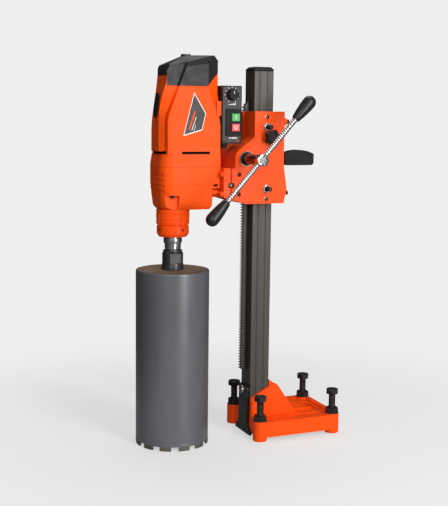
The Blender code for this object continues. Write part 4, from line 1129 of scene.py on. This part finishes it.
def make_bit():
    foot = (SPINDLE_X, 0, 0)
    wall = 3.0
    r = 79.7
    profile = [(0, 384), (r - 3, 384), (r - 1.4, 383.6), (r - 0.3, 382.6), (r, 381), (r, 16.6)]
    profile += [(r - 0.35, 16.0), (r - 0.35, 14.8), (r, 14.2), (r, 9)]
    profile += [(r - wall, 9), (r - wall, 377), (0, 377)]
    barrel = turned(profile, foot, sides=144)
    # the lid face carries the painted orange reflection of the parts above
    lid = turned([(0, 384.1), (74.6, 384.1), (75, 383.8), (75, 382), (0, 382)], foot, sides=144)
    dress(lid, "bit_lid_face", "lid_reflection_tint", "spindle", smooth=50)
    outside, inside = 80.0, 76.0
    half_gap = math.degrees(8.0 / 80) + 0.15
    crown = []
    for i in range(12):
        start = 15 + 30 * i + half_gap
        end = 45 + 30 * i - half_gap
        outline = arc((SPINDLE_X, 0), outside, start, end, 8) + arc((SPINDLE_X, 0), inside, end, start, 8)
        crown.append(prism(outline, 0, 9.2))
    dress(barrel, "bit_tube", "bit", "spindle", ["core_barrel"], smooth=50)
    dress(group(crown), "diamond_crown", "diamond", "spindle", bevel=0.5, segments=1)

    low, r = 384.3, 22.7
    profile = [(15.8, 427), (19.6, 427), (20.6, 426.4), (20.6, 422.6), (22.2, 420.8), (r, 419.6), (r, 398)]
    profile += [(r + 1.3, 392), (r + 1.3, 385), (r + 0.8, low), (0, low), (0, 394), (15.8, 394)]
    hub = turned(profile, foot, sides=64)
    flats = []
    for side in (-1, 1):
        inner, outer = sorted((side * 19.0, side * 40.0))
        flats.append(block((SPINDLE_X - 12, inner, 399), (SPINDLE_X + 12, outer, 419)))
    cut(hub, *flats)
    dress(hub, "bit_coupling", "hub", "spindle", ["bit_hub"], 0.5, 2, 35)


# ---------------------------------------------------------------- studio


def make_camera():
    yaw, pitch, roll = CAMERA_YAW, CAMERA_PITCH, CAMERA_ROLL
    forward = Vector((math.sin(yaw) * math.cos(pitch), math.cos(yaw) * math.cos(pitch), -math.sin(pitch)))
    right = Vector((math.cos(yaw), -math.sin(yaw), 0))
    up = right.cross(forward)
    across = math.cos(roll) * right + math.sin(roll) * up
    upward = math.cos(roll) * up - math.sin(roll) * right
    data = bpy.data.cameras.new("camera")
    data.lens = CAMERA_LENS
    data.sensor_width = 36
    camera = bpy.data.objects.new("camera", data)
    bpy.context.scene.collection.objects.link(camera)
    turn = Matrix((across, upward, -forward)).transposed().to_4x4()
    camera.matrix_world = Matrix.Translation(CAMERA_PLACE) @ turn
    bpy.context.scene.camera = camera


def make_light(name, place, target, size, power, colour=(1, 1, 1)):
    data = bpy.data.lights.new(name, "AREA")
    data.shape = "RECTANGLE"
    data.size, data.size_y = size
    data.energy = power
    data.color = colour
    light = bpy.data.objects.new(name, data)
    bpy.context.scene.collection.objects.link(light)
    light.location = place
    light.rotation_euler = (Vector(target) - Vector(place)).to_track_quat("-Z", "Y").to_euler()


def make_studio():
    scene = bpy.context.scene
    scene.view_settings.view_transform = "Standard"
    world = bpy.data.worlds.new("studio")
    scene.world = world
    world.use_nodes = True
    tree = world.node_tree
    background = tree.nodes["Background"]
    background.inputs["Color"].default_value = (1, 1, 1, 1)
    seen = add_node(tree, "LightPath").outputs["Is Camera Ray"]
    way = add_node(tree, "TexCoord").outputs["Generated"]
    inputs = {0: way, 1: (0.1, -0.9, 0.42)}
    facing = add_node(tree, "VectorMath", inputs, operation="DOT_PRODUCT").outputs["Value"]
    glow = remap(tree, facing, -0.5, 0.9, 0.05, 0.3)
    inputs = {"Value": seen, "To Min": glow, "To Max": BACKDROP}
    strength = add_node(tree, "MapRange", inputs).outputs["Result"]
    tree.links.new(strength, background.inputs["Strength"])

    target = (-0.05, 0, 0.45)
    make_light("key_softbox", (0.66, -2.75, 1.25), target, (0.8, 2.7), 84, (1, 0.965, 0.9))
    make_light("fill_softbox", (-1.6, -2.4, 1.4), target, (1.3, 1.6), 30, (1, 0.97, 0.9))
    make_light("top_softbox", (0.2, 0.7, 3.0), target, (1.6, 1.6), 30)

    bm = bmesh.new()
    bmesh.ops.create_circle(bm, cap_ends=True, radius=4, segments=64)
    floor = linked("studio_floor", bm)
    floor.data.materials.append(make_floor_look())


def make_floor_look():
    """A pale matt floor that fades out into the backdrop away from the object."""
    made = surface("pale_floor", (0.8, 0.81, 0.83), 0.8, patches=(3, 0.01), grain=(400, 0.1, 0.05))
    tree = made.node_tree
    place = add_node(tree, "TexCoord").outputs["Object"]
    reach = add_node(tree, "VectorMath", {0: place}, operation="LENGTH").outputs["Value"]
    inputs = {"Value": reach, "From Min": 0.3, "From Max": 1.1, "To Min": 0.6, "To Max": 1.0}
    fade = add_node(tree, "MapRange", inputs, interpolation_type="SMOOTHSTEP")
    clear = add_node(tree, "BsdfTransparent").outputs["BSDF"]
    glow = add_node(tree, "Emission", {"Strength": BACKDROP}).outputs["Emission"]
    seen = add_node(tree, "LightPath").outputs["Is Camera Ray"]
    backdrop = add_node(tree, "MixShader", {0: seen, 1: clear, 2: glow}).outputs["Shader"]
    shader = tree.nodes["Principled BSDF"]
    shader.inputs["Specular IOR Level"].default_value = 0.1
    inputs = {0: fade.outputs["Result"], 1: shader.outputs["BSDF"], 2: backdrop}
    mixed = add_node(tree, "MixShader", inputs).outputs["Shader"]
    tree.links.new(mixed, tree.nodes["Material Output"].inputs["Surface"])
    return made


LOOKS = make_looks()
make_camera()
make_studio()

make_base()
make_strap()
make_levellers()
make_carriage()
make_adapter()
make_adjusters()
make_feed()
make_lock_knob()
make_rear_handle()
make_housing()
make_end_cap()
make_gear_case()
make_neck()
make_brush_cover()
make_label()
make_control_box()
make_switch()
make_speed_knob()
make_gland()
make_spindle()
make_bit()

KEPT = {
    "column_tube": ("column", 1.0),
    "foot_plate": ("black_steel", 0.4),
    "column_cap": ("plastic", 0.8),
    "rack": ("rack", 0.2),
    "guide_pad_near": ("brass", 0.3),
    "guide_pad_far": ("brass", 0.3),
    "guide_pad_rear": ("brass", 0.3),
    "feed_pinion": ("machined", 0.0),
    "stator": ("copper", 0.4),
    "armature_core": ("copper", 0.4),
    "armature_shaft": ("machined", 0.0),
    "cooling_fan": ("plastic", 0.0),
    "counter_shaft": ("machined", 0.0),
    "counter_gear": ("machined", 0.0),
    "output_gear": ("machined", 0.0),
    "spindle_bearing": ("machined", 0.3),
    "shaft_seal": ("rubber", 0.2),
}
for node, (look, width) in KEPT.items():
    soften(node, look, width)
